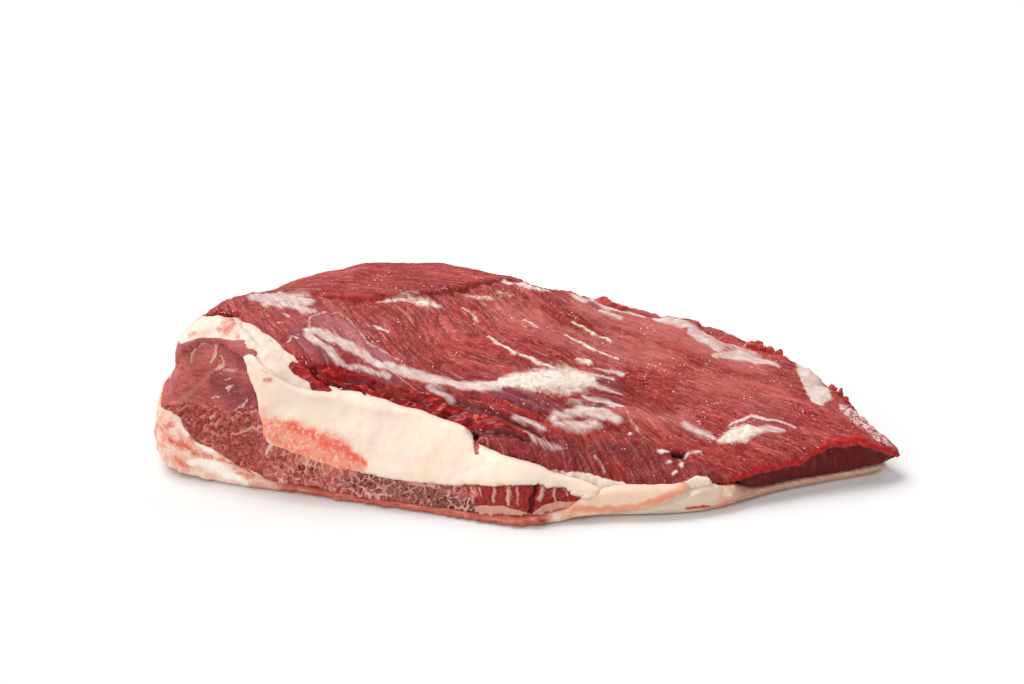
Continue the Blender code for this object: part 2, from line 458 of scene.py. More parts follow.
def zoned_meat(tree, p, muscle):
    """Zones of the same meat: veiled, purple, deep, wet, and the plain cut face with its rim. Painted shade
    darkens the crevices, the hollows and the pit.
    """
    stretch = {2: (0, 0, -0.5), 3: (1 / (6 * MM), 1 / (3 * MM), 1 / (4 * MM))}
    torn_at = add(tree, "Mapping", {0: p.place, **stretch})
    torn = add(tree, "TexNoise", {0: torn_at, "Scale": 1.0, "Detail": 4.0, "Roughness": 0.6})
    # Wet torn meat: bright red, with near-black patches that are painted shade in its torn crevices.
    wet_meat = coats(tree, "#8e1012", (
        (torn, 0.5, 0.66, 1.0, "#c22b26"),
        (torn, 0.46, 0.34, 1.0, "#4c0507"),
    ))
    swollen = coats(tree, "#ad1d1f", (
        (p.tissue, 0.5, 0.7, 1.0, "#d8423d"),
        (p.tissue, 0.46, 0.32, 0.8, "#7d0f12"),
    ))
    sliced = coats(tree, "#5f1315", (
        (p.fibre, 0.5, 0.7, 0.8, "#7e2321"),
        (p.fibre, 0.46, 0.3, 0.8, "#450a0c"),
    ))
    return coats(tree, muscle, (
        (ragged(tree, "rosy", p.fibre, 0.7), 0.3, 1.6, 0.5, "#dc8078"),
        (ragged(tree, "veil", p.fibre, 0.5), 0.5, 1.3, 0.55, "#b9767a"),
        (ragged(tree, "purple", p.fibre, 0.6), 0.5, 1.2, 0.75, "#8c4650"),
        (ragged(tree, "bright", p.tissue, 0.5), 0.5, 1.2, 0.6, "#c23a34"),
        # Darker in blotches on the front slope, and painted shade in the crevices and hollows.
        ("dark", 0.0, 1.0, 1.0, "#5c1214"),
        # White dots: flecks of fat and painted glints.
        (fat_flecks_and_glints(tree, p.place), 0.0, 0.06, 0.85, "#f3d5cb"),
        (ragged(tree, "wet", p.tissue, 0.5), 0.5, 1.0, 1.0, wet_meat),
        ("rim", 0.1, 0.7, 1.0, swollen),
        ("cut", 0.0, 1.0, 1.0, sliced),
        # Painted shade: the deep pit is near black.
        ("pit", 0.0, 1.0, 1.0, "#2b0406"),
    ))


def covered_meat(tree, p, meat):
    """Silverskin, grey-pink and cloudy where it is folded, and fat in curled threads."""
    silver = coats(tree, "#d9bbb4", (
        (p.skin, 0.42, 0.66, 0.8, "#eaddd6"),
        (p.fibre, 0.5, 0.3, 0.5, "#b98480"),
    ))
    spots = {"Scale": 1 / (2.4 * MM), "Detail": 2.0, "Distortion": 1.5}
    speckled = add(tree, "TexNoise", {0: p.place, **spots})
    fat = coats(tree, "#e6d2c2", (
        (p.curl, 0.45, 0.62, 1.0, "#f2e6d8"),
        (p.curl, 0.42, 0.3, 0.6, "#cfaa9e"),
    ))
    rim_fat = coats(tree, "#f0d8c8", (
        (p.tissue, 0.46, 0.3, 0.5, "#e0a090"),
        (p.skin, 0.5, 0.66, 0.8, "#f7e9da"),
    ))
    return coats(tree, meat, (
        (ragged(tree, "film", p.fibre, 0.7), 0.45, 1.15, 0.95, silver),
        # Whitish speckle on the tail: partly pale tissue, partly painted glints.
        (ragged(tree, "speckle", speckled, 2.4), 1.95, 2.45, 0.9, "#efd3cd"),
        (ragged(tree, "line", p.tissue, 0.9), 0.62, 1.3, 0.85, "#ead3ca"),
        (ragged(tree, "fat", p.curl, 0.9), 0.55, 1.35, 1.0, fat),
        (ragged(tree, "cream", p.tissue, 0.6), 0.6, 0.95, 1.0, rim_fat),
    ))


# %% The fine lean material
def lean_bump(tree, p):
    """Fibres and tissue in the surface, and over them the curls of thick fat."""
    fibres = add(tree, "Math", {0: p.hair, 1: 0.5, 2: p.fibre}, operation="MULTIPLY_ADD")
    rise = add(tree, "Math", {0: p.tissue, 1: 0.8, 2: fibres}, operation="MULTIPLY_ADD")
    bump = add(tree, "Bump", {"Height": rise, "Strength": 0.6, "Distance": 0.6 * MM})
    thick = add(tree, "Attribute", out=2, attribute_name="fat")
    curls = add(tree, "Math", {0: p.curl, 1: thick}, operation="MULTIPLY")
    over = {"Height": curls, "Strength": 0.5, "Distance": 1.0 * MM, "Normal": bump}
    return add(tree, "Bump", over)


def lean_material():
    material, tree, shader = new_material("fresh_lean_beef")
    p = lean_patterns(tree)
    meat = zoned_meat(tree, p, muscle_colour(tree, p))
    sheen = add(tree, "MapRange", {0: p.glint, 1: 0.5, 2: 0.7, 3: 0.56, 4: 0.22})
    gloss = add(tree, "Attribute", out=2, attribute_name="gloss")
    fill(tree, shader, LEAN_BODY | {
        "Base Color": covered_meat(tree, p, meat),
        "Roughness": add(tree, "Mix", {0: gloss, 2: sheen, 3: 0.16}),
        "Normal": lean_bump(tree, p),
    })
    return material

# %% [markdown]
# ## A clean cut of coarse lean
# The upper left of the coarse muscle is one clean cut. Its fibres run away from you, so they
# show as short fine streaks with a grain of pale and dark specks. It is shared by two materials,
# because a little of this cut face runs up over the seam.

# %% The clean cut's colour
def clean_cut_colour(tree, place):
    stretch = {2: (0, 0.3, 0), 3: (1 / (6 * MM), 1 / (4 * MM), 1 / (1.2 * MM))}
    drawn = add(tree, "Mapping", {0: place, **stretch})
    streak = add(tree, "TexNoise", {0: drawn, "Scale": 1.0, "Detail": 4.0, "Roughness": 0.65})
    patch = add(tree, "TexNoise", {0: place, "Scale": 1 / (12 * MM), "Detail": 3.0})
    speck = add(tree, "TexNoise", {0: place, "Scale": 1 / (1.1 * MM), "Detail": 2.0})
    return coats(tree, "#ab4e4a", (
        (patch, 0.40, 0.6, 0.9, "#bb625d"),
        (ragged(tree, "shade", streak, 0.6), 0.3, 1.2, 0.85, "#7c3438"),
        (streak, 0.5, 0.28, 0.8, "#842c2d"),
        (streak, 0.52, 0.72, 0.55, "#cb7b74"),
        (speck, 0.44, 0.3, 0.4, "#7a2628"),
        (speck, 0.60, 0.74, 0.35, "#dda096"),
    ))

# %% [markdown]
# ## Hard fat
# The slab between the muscles is hard suet-like fat: waxy, cream, barely moist, with faint
# clouds of yellow and pink. Low on the left it is stained by blood that has gathered between its
# small lobes, so the stain is a net of red veins round paler cells.

# %% The hard fat material
def hard_fat_material():
    material, tree, shader = new_material("hard_beef_fat")
    place = add(tree, "TexCoord", out=3)
    cloud = add(tree, "TexNoise", {0: place, "Scale": 1 / (24 * MM), "Detail": 3.0})
    fine = add(tree, "TexNoise", {0: place, "Scale": 1 / (5 * MM), "Detail": 4.0, "Roughness": 0.6})
    grit = add(tree, "TexNoise", {0: place, "Scale": 1 / (1.8 * MM), "Detail": 2.0})
    vein = add(tree, "TexNoise", {0: place, "Scale": 1 / (3.2 * MM), "Detail": 2.0, "Distortion": 1.4})
    wax = coats(tree, "#f6dac4", (
        (cloud, 0.35, 0.65, 1.0, "#f6e3d0"),
        (fine, 0.56, 0.8, 0.3, "#eabd9e"),
        ("band", 0.0, 1.0, 0.7, "#ecd3c5"),
        (ragged(tree, "pink", fine, 1.0), 0.7, 1.7, 0.7, "#ea9c88"),
        (ragged(tree, "blot", grit, 1.0), 0.75, 1.5, 0.85, "#dd6a58"),
    ))
    blood = coats(tree, "#ef9478", (
        (ragged(tree, "core", fine, 0.8), 0.5, 1.3, 0.85, "#ec5038"),
        (vein, 0.50, 0.62, 0.55, "#e8553e"),
        (vein, 0.46, 0.34, 0.8, "#f9c2ab"),
    ))
    meat = coats(tree, "#a01a1b", (
        (fine, 0.5, 0.7, 1.0, "#c8332e"),
        (fine, 0.46, 0.32, 1.0, "#6a0c0e"),
    ))
    fat = coats(tree, wax, (
        (ragged(tree, "stain", fine, 0.8), 0.45, 1.35, 0.95, blood),
        # Painted shade along the crease between the horn and the band.
        ("crease", 0.15, 1.0, 0.35, "#c9a48e"),
        (ragged(tree, "wet", fine, 0.6), 0.62, 0.95, 1.0, meat),
        (ragged(tree, "dusk", fine, 0.6), 0.62, 0.95, 1.0, clean_cut_colour(tree, place)),
    ))
    fill(tree, shader, FAT_BODY | {
        "Base Color": fat,
        "Roughness": 0.46,
        "Subsurface Weight": 0.2,
        "Subsurface Radius": (1.0, 0.7, 0.45),
        "Normal": add(tree, "Bump", {"Height": fine, "Strength": 0.45, "Distance": 0.8 * MM}),
    })
    return material

# %% [markdown]
# ## Soft cap fat
# The fat that the brisket lies on is softer and more mixed: white where it is thick, pink
# where thin sheets of lean show through, salmon-red where it was bruised. At the thick end it
# has grown up over the coarse muscle too, so its colour is a recipe that two materials use.

# %% The cap fat's colour, and its material
def soft_fat_colour(tree, place):
    cloud = add(tree, "TexNoise", {0: place, "Scale": 1 / (13 * MM), "Detail": 3.0, "Roughness": 0.6})
    fine = add(tree, "TexNoise", {0: place, "Scale": 1 / (3.6 * MM), "Detail": 4.0, "Roughness": 0.65})
    dapple = add(tree, "TexNoise", {0: place, "Scale": 1 / (1.8 * MM), "Detail": 3.0, "Roughness": 0.65})
    return coats(tree, "#e8ae97", (
        (cloud, 0.44, 0.64, 0.9, "#f2d6c2"),
        (cloud, 0.46, 0.32, 0.8, "#db8f7a"),
        (fine, 0.54, 0.76, 0.55, "#d58f7c"),
        (ragged(tree, "white", fine, 1.2), 0.6, 1.6, 0.95, "#fdf4e8"),
        (ragged(tree, "blot", fine, 1.3), 0.85, 1.65, 0.9, "#e06b52"),
        (dapple, 0.58, 0.72, 0.6, "#cf8674"),
        (dapple, 0.42, 0.3, 0.5, "#fff4e8"),
    ))


def cap_material():
    material, tree, shader = new_material("soft_cap_fat")
    place = add(tree, "TexCoord", out=3)
    cloud = add(tree, "TexNoise", {0: place, "Scale": 1 / (16 * MM), "Detail": 3.0})
    fine = add(tree, "TexNoise", {0: place, "Scale": 1 / (3 * MM), "Detail": 4.0, "Roughness": 0.65})
    drawn = add(tree, "Mapping", {0: place, 3: (1 / (14 * MM), 1 / (5 * MM), 1 / (1.4 * MM))})
    streak = add(tree, "TexNoise", {0: drawn, "Scale": 1.0, "Detail": 3.0})
    sheet = coats(tree, "#c15b48", (
        (streak, 0.5, 0.68, 1.0, "#d5806c"),
        (streak, 0.46, 0.34, 1.0, "#94362c"),
    ))
    fat = coats(tree, soft_fat_colour(tree, place), (
        (ragged(tree, "cream", fine, 0.5), 0.5, 1.1, 0.85, "#f0cfb4"),
        (ragged(tree, "grey", cloud, 0.7), 0.6, 1.2, 0.85, "#dccbb4"),
        # Painted shade: the cap's sides under the cut end are beige-brown.
        (ragged(tree, "tan", cloud, 0.5), 0.5, 1.2, 0.8, "#bd967c"),
        (ragged(tree, "meaty", fine, 0.7), 0.6, 1.1, 0.95, sheet),
        (ragged(tree, "orange", fine, 0.8), 0.6, 1.4, 0.85, "#e88a66"),
        (ragged(tree, "blood", fine, 0.6), 0.6, 1.2, 0.95, "#cf3226"),
    ))
    fill(tree, shader, FAT_BODY | {
        "Base Color": fat,
        "Roughness": 0.45,
        "Subsurface Weight": 0.15,
        "Subsurface Radius": (1.0, 0.5, 0.35),
        "Normal": add(tree, "Bump", {"Height": fine, "Strength": 0.45, "Distance": 0.8 * MM}),
    })
    return material

# %% [markdown]
# ## Coarse lean
# Cut across its fibres, the point muscle crumbles into grains about 2 mm wide, dark red in the
# middle. Fat runs between the grains as a pale lace, most of all along the band under the slab.
# Each point carries how near it is to the border between two grains, so the lace sits exactly
# in the carved gaps. The smooth upper face is one clean cut with fine fibres and a few seams.

# %% The coarse lean material
def coarse_material():
    material, tree, shader = new_material("coarse_marbled_beef")
    place = add(tree, "TexCoord", out=3)
    fine = add(tree, "TexNoise", {0: place, "Scale": 1 / (1.5 * MM), "Detail": 3.0, "Roughness": 0.6})
    patch = add(tree, "TexNoise", {0: place, "Scale": 1 / (12 * MM), "Detail": 3.0})
    streak = add(tree, "TexNoise", {0: place, "Scale": 1 / (3 * MM), "Detail": 3.0})
    sheet = clean_cut_colour(tree, place)
    grains = coats(tree, "#cc6f67", (
        ("tone", 0.5, 1.0, 0.7, "#d88178"),
        ("tone", 0.5, 0.0, 0.7, "#a23f3b"),
        (fine, 0.46, 0.3, 0.6, "#852527"),
        (fine, 0.56, 0.74, 0.6, "#e8a598"),
    ))
    stained = coats(tree, "#7a4a3e", (
        (fine, 0.5, 0.7, 1.0, "#a87262"),
        (fine, 0.46, 0.32, 1.0, "#4a211c"),
    ))
    bars = coats(tree, "#962a27", (
        (fine, 0.5, 0.7, 0.7, "#bd4f45"),
        (streak, 0.46, 0.3, 0.7, "#6c1414"),
    ))
    lace = coats(tree, "#cf8f80", (
        (patch, 0.42, 0.6, 1.0, "#dfb0a0"),
        (fine, 0.45, 0.3, 0.6, "#b87264"),
    ))
    lean = coats(tree, sheet, (
        ("crumbly", 0.2, 0.8, 1.0, grains),
        ("brown", 0.0, 1.0, 1.0, stained),
        ("bars", 0.3, 0.7, 1.0, bars),
        # Painted shade: dark in the gaps between grains and where grains are missing.
        (ragged(tree, "gap", fine, 0.7), 0.75, 1.4, 0.7, "#571416"),
        (ragged(tree, "net", fine, 0.9), 0.85, 1.45, 0.9, lace),
        (ragged(tree, "strap", fine, 0.8), 0.75, 1.5, 0.45, "#bb7f78"),
        (ragged(tree, "seam", fine, 0.9), 0.65, 1.45, 0.85, "#dcaea3"),
        (ragged(tree, "fleck", fine, 1.0), 0.85, 1.6, 0.9, "#e6c4b8"),
        # Painted shade: near black in the notch between two bars.
        ("wet", 0.0, 1.0, 0.9, "#4e0809"),
        (ragged(tree, "foot", fine, 0.6), 0.6, 1.0, 0.9, "#d9a08f"),
        (ragged(tree, "fat", fine, 0.5), 0.55, 0.9, 1.0, soft_fat_colour(tree, place)),
    ))
    fill(tree, shader, LEAN_BODY | {
        "Base Color": lean,
        "Roughness": add(tree, "MapRange", {0: fine, 1: 0.3, 2: 0.7, 3: 0.62, 4: 0.38}),
        "Normal": add(tree, "Bump", {"Height": fine, "Strength": 0.5, "Distance": 0.6 * MM}),
    })
    return material

# %% [markdown]
# ## The flat muscle: which way the grain runs
# On the lean side the fibres run steeply from the back towards the front at the thick end, then
# turn and run out along the brisket to the tail. A bundle along the back lies straight. On the
# front slope the fibres come down over the edge. Each zone gives every point two numbers in mm:
# how far it is along the grain, and how far across. The turn is a softplus curve, which is
# straight before and after one smooth bend.

# %% Grain of the flat muscle
STEEP, TURN = 0.615, 0.30        # how steep the grain is at the thick end, and how much it turns
TURN_AT, TURN_WIDTH = -35, 12    # mm, where it turns and over what width
SWIRL_AT, SWIRL_WIDTH, SWIRL_SIZE = (64, -46), 15, 13
BUNDLE_EDGE = ((-175, 45), (-154, 41), (-129, 36), (-100, 36), (-80, 42), (-47, 53), (-2, 76), (30, 100))
SLOPE_EDGE = (
    (-60, -130), (-34, -78), (0, -82), (22, -77), (34, -69), (47, -64), (58, -67), (69, -71), (80, -76),
    (105, -84), (130, -98), (160, -130),
)


def edge_at(points, edge):
    """How far behind an edge line, drawn in plan, each point lies."""
    return points[:, 1] - on_line(points[:, 0], edge)


def grain_zones(points):
    """The (along, across) of each zone, and how much each zone counts at every point."""
    x, y = points[:, 0], points[:, 1]
    wander = lumps(points, 60, 2, seed=1) * 3.5
    w = x - y
    turn = TURN_WIDTH * np.logaddexp(0, (w - TURN_AT) / TURN_WIDTH)
    from_swirl = np.linalg.norm(points[:, :2] - np.array(SWIRL_AT), axis=1) / SWIRL_WIDTH
    swirl = SWIRL_SIZE * np.exp(-(from_swirl ** 2) / 2)
    main = (x - 0.7 * y, (y + STEEP * w - TURN * turn) / 0.74 + wander - swirl)
    back = (x, y + 0.06 * x + wander)
    slope = (y + 0.4 * x, x + 0.45 * y + 1.5 * wander)
    back_share = step(-2, 2, edge_at(points, BUNDLE_EDGE) + wander * 0.5) * step(30, 10, x)
    slope_share = step(4, -4, edge_at(points, SLOPE_EDGE) + wander)
    main_share = (1 - back_share) * (1 - slope_share)
    return (main, main_share), (back, back_share), (slope, slope_share)

# %% [markdown]
# ## The flat muscle: bundles of fibre
# A bundle of fibres is a long lens, pointed at both ends, that lies between its neighbours like
# the segments of an orange. Round cells drawn out along the grain have that shape. Every bundle
# is rounded on top, has a narrow groove round it, and is a little paler or darker than the next.

# %% Bundles of the flat muscle
BUNDLE, BUNDLE_STRETCH = 6.0, 7     # mm wide, and how many times longer than wide


def fibre_bundles(points, bend):
    """For each point: how far up a bundle it is, its bundle's tone, and its place in the grain."""
    relief, tone, grain = np.zeros(len(points)), np.zeros(len(points)), np.zeros_like(points)
    for number, ((along, across), share) in enumerate(grain_zones(points)):
        lens = np.column_stack((along / BUNDLE_STRETCH, across + 1.8 * bend, 0 * along))
        _, border, cell_tone = cells(lens, BUNDLE, seed=4 + number)
        relief += share * np.sqrt(step(-0.1, 0.6, border))
        main = share > 0.5
        tone[main] = cell_tone[main]
        grain[main] = np.column_stack((along, across, points[:, 2]))[main]
    return relief, tone, grain


def ledge(points, line, rise, behind, before):
    """A step in height along a line in plan: up behind it, and down in front of it."""
    x, away = points[:, 0], edge_at(points, line)
    (start, _), (end, _) = line[0], line[-1]
    inside = step(start - 4, start + 8, x) * step(end + 4, end - 8, x)
    back, front = np.exp(-np.maximum(away, 0) / behind), np.exp(np.minimum(away, 0) / before)
    return inside * rise * np.where(away > 0, back, -0.8 * front)

# %% [markdown]
# ## The flat muscle: what lies on it
# Silverskin is a thin, tough, see-through film; fat is thicker, cream and stands up from the
# meat. Both were left in patches where the knife passed over them. Each patch is one or two
# strokes in plan, in mm from the middle: how strong, then x, y and half-width along the stroke.

# %% Silverskin of the flat muscle
FILM = (
    # Faint film on the shoulder of the thick end.
    (0.65, ((-180, 43, 2), (-165, 38, 4), (-144, 37, 4))),
    (0.95, ((-176, 27, 4), (-160, 29, 6), (-141, 26, 5))),
    (0.7, ((-166, 20, 4), (-149, 20, 5), (-138, 13, 4))),
    # Two strips round an eye of bare meat, which join and run on as one narrow strip.
    (0.95, ((-137, -9, 3), (-130, -8, 4), (-121, -13, 4.5), (-111, -18, 4.5), (-102, -24, 3.5),
            (-98, -28, 2.5))),
    (0.9, ((-137, -14, 2.5), (-130, -20, 3.5), (-123, -27, 3.5), (-116, -34, 3), (-112, -39, 2))),
    (0.9, ((-99, -28, 2.5), (-88, -31, 3.5), (-78, -34, 4), (-66, -37, 4), (-53, -40, 4), (-40, -43, 3.5),
           (-18, -45, 4))),
    (0.6, ((-112, -40, 2.5), (-103, -36, 2.5), (-94, -38, 3), (-85, -41, 2.5))),
    (0.8, ((-59, -46, 2.5), (-52, -50, 4), (-45, -53, 3))),
    # Round the cream patch, and on the folds under it.
    (0.8, ((46, -11, 1.5), (53, -13, 2), (63, -15, 1))),
    (0.7, ((44, -19, 2), (56, -20, 1.5))),
    (0.8, ((38, -29, 2), (48, -30, 2), (62, -32, 1))),
    (0.8, ((39, -42, 2.5), (52, -42, 2.5), (62, -44, 1))),
    (0.7, ((-6, -68, 2), (2, -69, 3), (10, -73, 3))),
    (0.5, ((3, -80, 3), (13, -86, 4), (22, -86, 3))),
    # Along the back edge.
    (0.8, ((34, 65, 2), (41, 60, 3), (46, 64, 2.5), (57, 57, 3.5), (67, 55, 3), (81, 53, 2))),
    (0.7, ((52, 51, 2.5), (59, 49, 2.5), (64, 45, 2))),
    (1.0, ((110, 38, 2), (116, 33, 3), (123, 29, 3), (129, 24, 2))),
    (1.0, ((125, 17, 2), (134, 20, 3.5), (142, 21, 4), (152, 19, 3.5), (159, 17, 3), (166, 15, 2))),
    # Beside the white spot, and the thin veils right of it.
    (0.75, ((146, -56, 3), (154, -54, 3.5), (161, -55, 2))),
    (0.55, ((100, -54, 3), (109, -60, 3.5), (118, -65, 2))),
    (0.8, ((90, 52, 3), (102, 47, 4), (114, 42, 3.5), (124, 37, 2.5))),
    (0.55, ((122, 31, 4), (138, 29, 4), (154, 25, 3))),
)
TAIL_FILM = ((1.0, ((184, 17, 7), (188, 4, 8), (190, -12, 8), (188, -20, 4))),)
TAIL_FILM_EDGE = ((-26, 181), (-3, 181), (8, 179), (18, 174), (30, 168))       # y, x of its left edge
# The speckle at the tail is partly pale tissue and partly painted glints.
TAIL_SPECKLE = ((1.0, ((206, -22, 6), (213, -33, 9), (221, -45, 9), (229, -54, 6))),)
LINES = (
    # The rim of the veil, the fold lines at the white spot, and single threads.
    (0.6, ((-137, -5, 0.8), (-137, 5, 0.8), (-130, 13, 0.8), (-122, 15, 0.8), (-114, 10, 0.8),
           (-108, 1, 0.8), (-99, -11, 0.8), (-90, -19, 0.8), (-78, -26, 0.8))),
    (0.9, ((128, -54, 0.9), (135, -49, 1), (144, -44, 1.1), (150, -45, 1), (160, -48, 0.9),
           (170, -52, 0.8))),
    (0.7, ((101, -57, 0.8), (110, -61, 0.9), (121, -67, 0.8))),
    (0.8, ((-96, 6, 1.1), (-92, 3, 1.6), (-87, 0, 0.9))),
    (0.8, ((-155, 8, 0.8), (-151, 4, 0.8))),
    (0.8, ((-157, -4, 0.8), (-153, -3, 0.8))),
    (0.7, ((-149, -25, 0.8), (-147, -18, 0.8), (-143, -20, 0.7))),
    (0.6, ((43, -87, 0.8), (45, -92, 0.8), (48, -98, 0.8))),
    (0.5, ((63, -46, 0.8), (66, -56, 0.8), (72, -66, 0.8), (78, -72, 0.7))),
    (0.5, ((14, -66, 1), (18, -62, 1), (27, -62, 0.8))),
)
VEIL = (
    (0.9, ((-128, 4, 9), (-118, 2, 9), (-108, -8, 8), (-98, -18, 6), (-86, -25, 4))),
    (0.5, ((-160, 10, 8), (-146, 4, 9), (-136, -6, 7))),
    (0.45, ((100, -30, 14), (130, -36, 14), (165, -38, 12))),
    (0.6, ((140, -50, 8), (158, -54, 7))),
)
PURPLE = (
    (0.8, ((-146, -10, 6), (-136, -24, 7), (-124, -34, 6))),
    (0.9, ((-112, -42, 4), (-98, -42, 5), (-80, -46, 4))),
    (1.0, ((-27, -49, 3), (-12, -52, 5), (8, -56, 6), (22, -55, 5))),
    (1.0, ((44, -23, 4), (54, -25, 5), (62, -28, 3))),
    (0.7, ((42, -36, 3), (52, -37, 3), (60, -39, 2))),
    (1.0, ((44, 58, 2.5), (51, 54, 2.5))),
    (0.6, ((-18, -78, 3), (-8, -80, 4), (8, -80, 4))),
)
BRIGHT = (
    (1.0, ((-150, 40, 2), (-120, 37, 2), (-95, 36, 2.5), (-80, 42, 2))),
    (1.0, ((112, 42, 3), (130, 38, 4), (150, 34, 4), (170, 26, 4))),
    (0.9, ((-26, -51, 2), (-10, -59, 2.5), (6, -65, 2.5), (15, -70, 2.5))),
    (0.7, ((-30, 0, 8), (0, -12, 8))),
    (0.8, ((20, -74, 5), (36, -70, 6), (52, -70, 5))),
)
ROSY = (
    (1.0, ((40, 50, 10), (80, 40, 14), (120, 30, 14), (150, 15, 12))),
    (0.9, ((-10, 30, 12), (20, 15, 12), (50, 10, 14), (85, 10, 14))),
    (0.6, ((120, -15, 14), (160, -20, 12))),
    (0.7, ((60, -48, 8), (80, -50, 10), (100, -50, 8))),
)

# The rim of the fat seam lies over the flat's left shoulder, in front of the first line (drawn
# in plan), and the lip of the cap lies up its front, below the second line (drawn in x and z).
SEAM_RIM = (
    (-230, 10), (-204, 4), (-188, -2), (-180, -6), (-171, -10), (-166, -17), (-159, -23), (-151, -31),
    (-141, -37), (-135, -38.5),
)
LIP_TOP = (
    (2, 31), (9, 29.5), (15, 28), (23, 26.5), (31, 25), (40, 23), (51, 20), (64, 17.8), (78, 17), (91, 17.5),
    (99, 18.5), (104, 20), (110, 19.5), (114, 17.5), (118, 13),
)

# %% Fat, folds and hollows of the flat muscle
FAT = (
    # The cream patch, its tail to the left and a small dot above it.
    (1.0, ((-18, -43, 3), (-6, -38, 6), (6, -35, 9), (18, -32, 11), (29, -28, 11), (38, -25, 8),
           (43, -24, 3))),
    (0.9, ((36, -5, 2.2), (41, -6, 2.6))),
    # Three white streaks in the grain.
    (1.0, ((-24, 5, 0.9), (-17, -2, 1.3), (-7, -11, 1.6), (1, -14, 1.5), (10, -18, 1.3), (20, -20, 0.9))),
    (0.95, ((27, 17, 0.8), (34, 14, 1.2), (42, 9, 1.4), (51, 5, 1.3), (61, 1, 0.8))),
    (0.85, ((32, 30, 0.8), (41, 26, 1.1), (47, 23, 1.1), (56, 17, 0.8))),
    (0.7, ((1, 25, 0.8), (8, 17, 1))),
    (0.6, ((-40, 34, 0.8), (-30, 20, 0.9))),
    # Soft patches along the back.
    (0.6, ((-94, 35, 1.5), (-82, 39, 3), (-72, 41, 5.5), (-64, 36, 5.5), (-58, 34, 2.5))),
    (0.75, ((-14, 69, 2), (-5, 67, 3), (3, 63, 3.5), (11, 61, 3), (18, 62, 2))),
    (0.5, ((-15, 50, 3), (-10, 49, 3))),
    (0.45, ((-36, 46, 2.5), (-22, 44, 3))),
    # The white spot, and the dots round the pit.
    (1.0, ((122, -67, 2), (128, -64, 4), (135, -60, 6), (142, -57, 5), (147, -58, 2))),
    (0.8, ((83, -79, 2), (88, -79, 1.6))),
    (0.6, ((98, -81, 1.2), (103, -79, 1.8), (108, -77, 1.4))),
    (0.8, ((87, -87, 1.3), (88, -87.5, 1.3))),
    (0.8, ((91, -95, 1.2), (92, -94, 1.2))),
    (0.7, ((95, -88, 1.3), (95, -90, 1))),
    (0.7, ((66, -66, 1), (66.5, -66.5, 1))),
)
LOBES = (
    (0.8, ((17, -67, 2), (21, -62, 3.6), (28, -61, 3))),
    (0.95, ((28, -57, 3), (35, -53, 5), (42, -53, 5.5), (48, -55, 4))),
    (0.9, ((44, -49, 3), (51, -51, 4), (57, -56, 3.5))),
    (0.8, ((19, -69, 2.5), (27, -67, 4), (35, -66, 5), (44, -62, 4))),
    (0.6, ((29, -48, 2), (36, -47, 2.5))),
)
WET = (
    (1.0, ((-141, -47, 6), (-128, -48, 8), (-112, -48, 9), (-97, -51, 8), (-83, -55, 8), (-71, -59, 8),
           (-56, -61, 9), (-43, -65, 9), (-30, -70, 7), (-14, -78, 5), (0, -83, 3))),
)
FLAP = ((-60, -45), (-37, -49), (-27, -51), (-16, -56), (-2, -63), (7, -65), (13, -69), (17, -80))
FOLDS = (
    ((-24, -48), (-12, -53), (4, -59), (14, -64)),
    ((-8, -49), (8, -53), (24, -58)),
    ((10, -47), (30, -48), (52, -45)),
)
# Crevices and hollows are carved, and also painted darker as their shade.
CREVICES = (
    (1.0, ((-139, -49, 1.5), (-124, -50, 2), (-108, -53, 2), (-92, -58, 2), (-70, -64, 2))),
    (0.8, ((-112, -45, 1.2), (-96, -47, 1.8), (-80, -53, 1.8), (-60, -57, 1.5))),
    (1.0, ((-46, -54, 2), (-30, -60, 2.5), (-15, -67, 2.5), (-3, -73, 2.5), (9, -79, 2))),
    (1.0, ((-32, -76, 2.5), (-18, -80, 3), (-6, -82, 2.5), (3, -85, 1.5))),
    (0.7, ((-18, -54, 1), (-4, -59, 1.4), (8, -63, 1.4), (14, -66, 1))),
)
HOLLOWS = (
    (1.0, ((-142, -46, 7), (-114, -50, 9), (-75, -60, 9), (-30, -71, 8))),
    (1.0, ((72, -34, 8), (82, -39, 9), (94, -42, 6))),
    (0.5, ((-154, 39, 4), (-129, 34, 4), (-100, 34, 4), (-80, 38, 4), (-47, 50, 4), (-4, 72, 4))),
)
RIDGES = (
    (1.0, ((97, 53, 4), (105, 51, 5), (114, 49, 4))),
    (0.9, ((168, 27, 3), (177, 20, 4), (190, 8, 4))),
    (-0.7, ((126, 41, 4), (134, 35, 4))),
    (-1.1, ((-162, 54, 13), (-144, 68, 14), (-124, 80, 12))),
    (0.5, ((-192, 22, 6), (-178, 32, 7))),
    (0.6, ((108, 42, 2.5), (124, 34, 3), (140, 27, 3), (152, 24, 2))),
)
# The pit is carved deep and painted near black as its shade.
PIT = ((1.0, ((93, -80, 2.4), (97, -81, 2.4))),)
CUT_RIM = (
    (112, 8), (121, 11), (127, 14), (132, 17), (142, 18), (163, 19), (172, 18.5), (180, 23), (188, 25.5),
    (208, 26.5), (214, 24.5), (223, 20), (232, 16), (238, 12),
)

# %% Where the flat muscle is covered or cut
def flat_film(points, plan, up):
    """Silverskin in strips, and the sheet at the tail, which starts at a line."""
    strips = painted(plan, FILM, 0.9) * up
    behind_edge = step(-0.8, 0.8, points[:, 0] - on_line(points[:, 1], TAIL_FILM_EDGE))
    return np.maximum(strips, painted(plan, TAIL_FILM, 0.4) * behind_edge)


def lip_over_flat(points, fray):
    """The lip of the cap, which lies up the flat's front."""
    x, y, z = points.T
    lip = step(-0.6, 0.6, on_line(x, LIP_TOP) - z + 0.6 * fray) * step(2, 5, x) * step(121, 119, x)
    return lip * step(-60, -75, y)


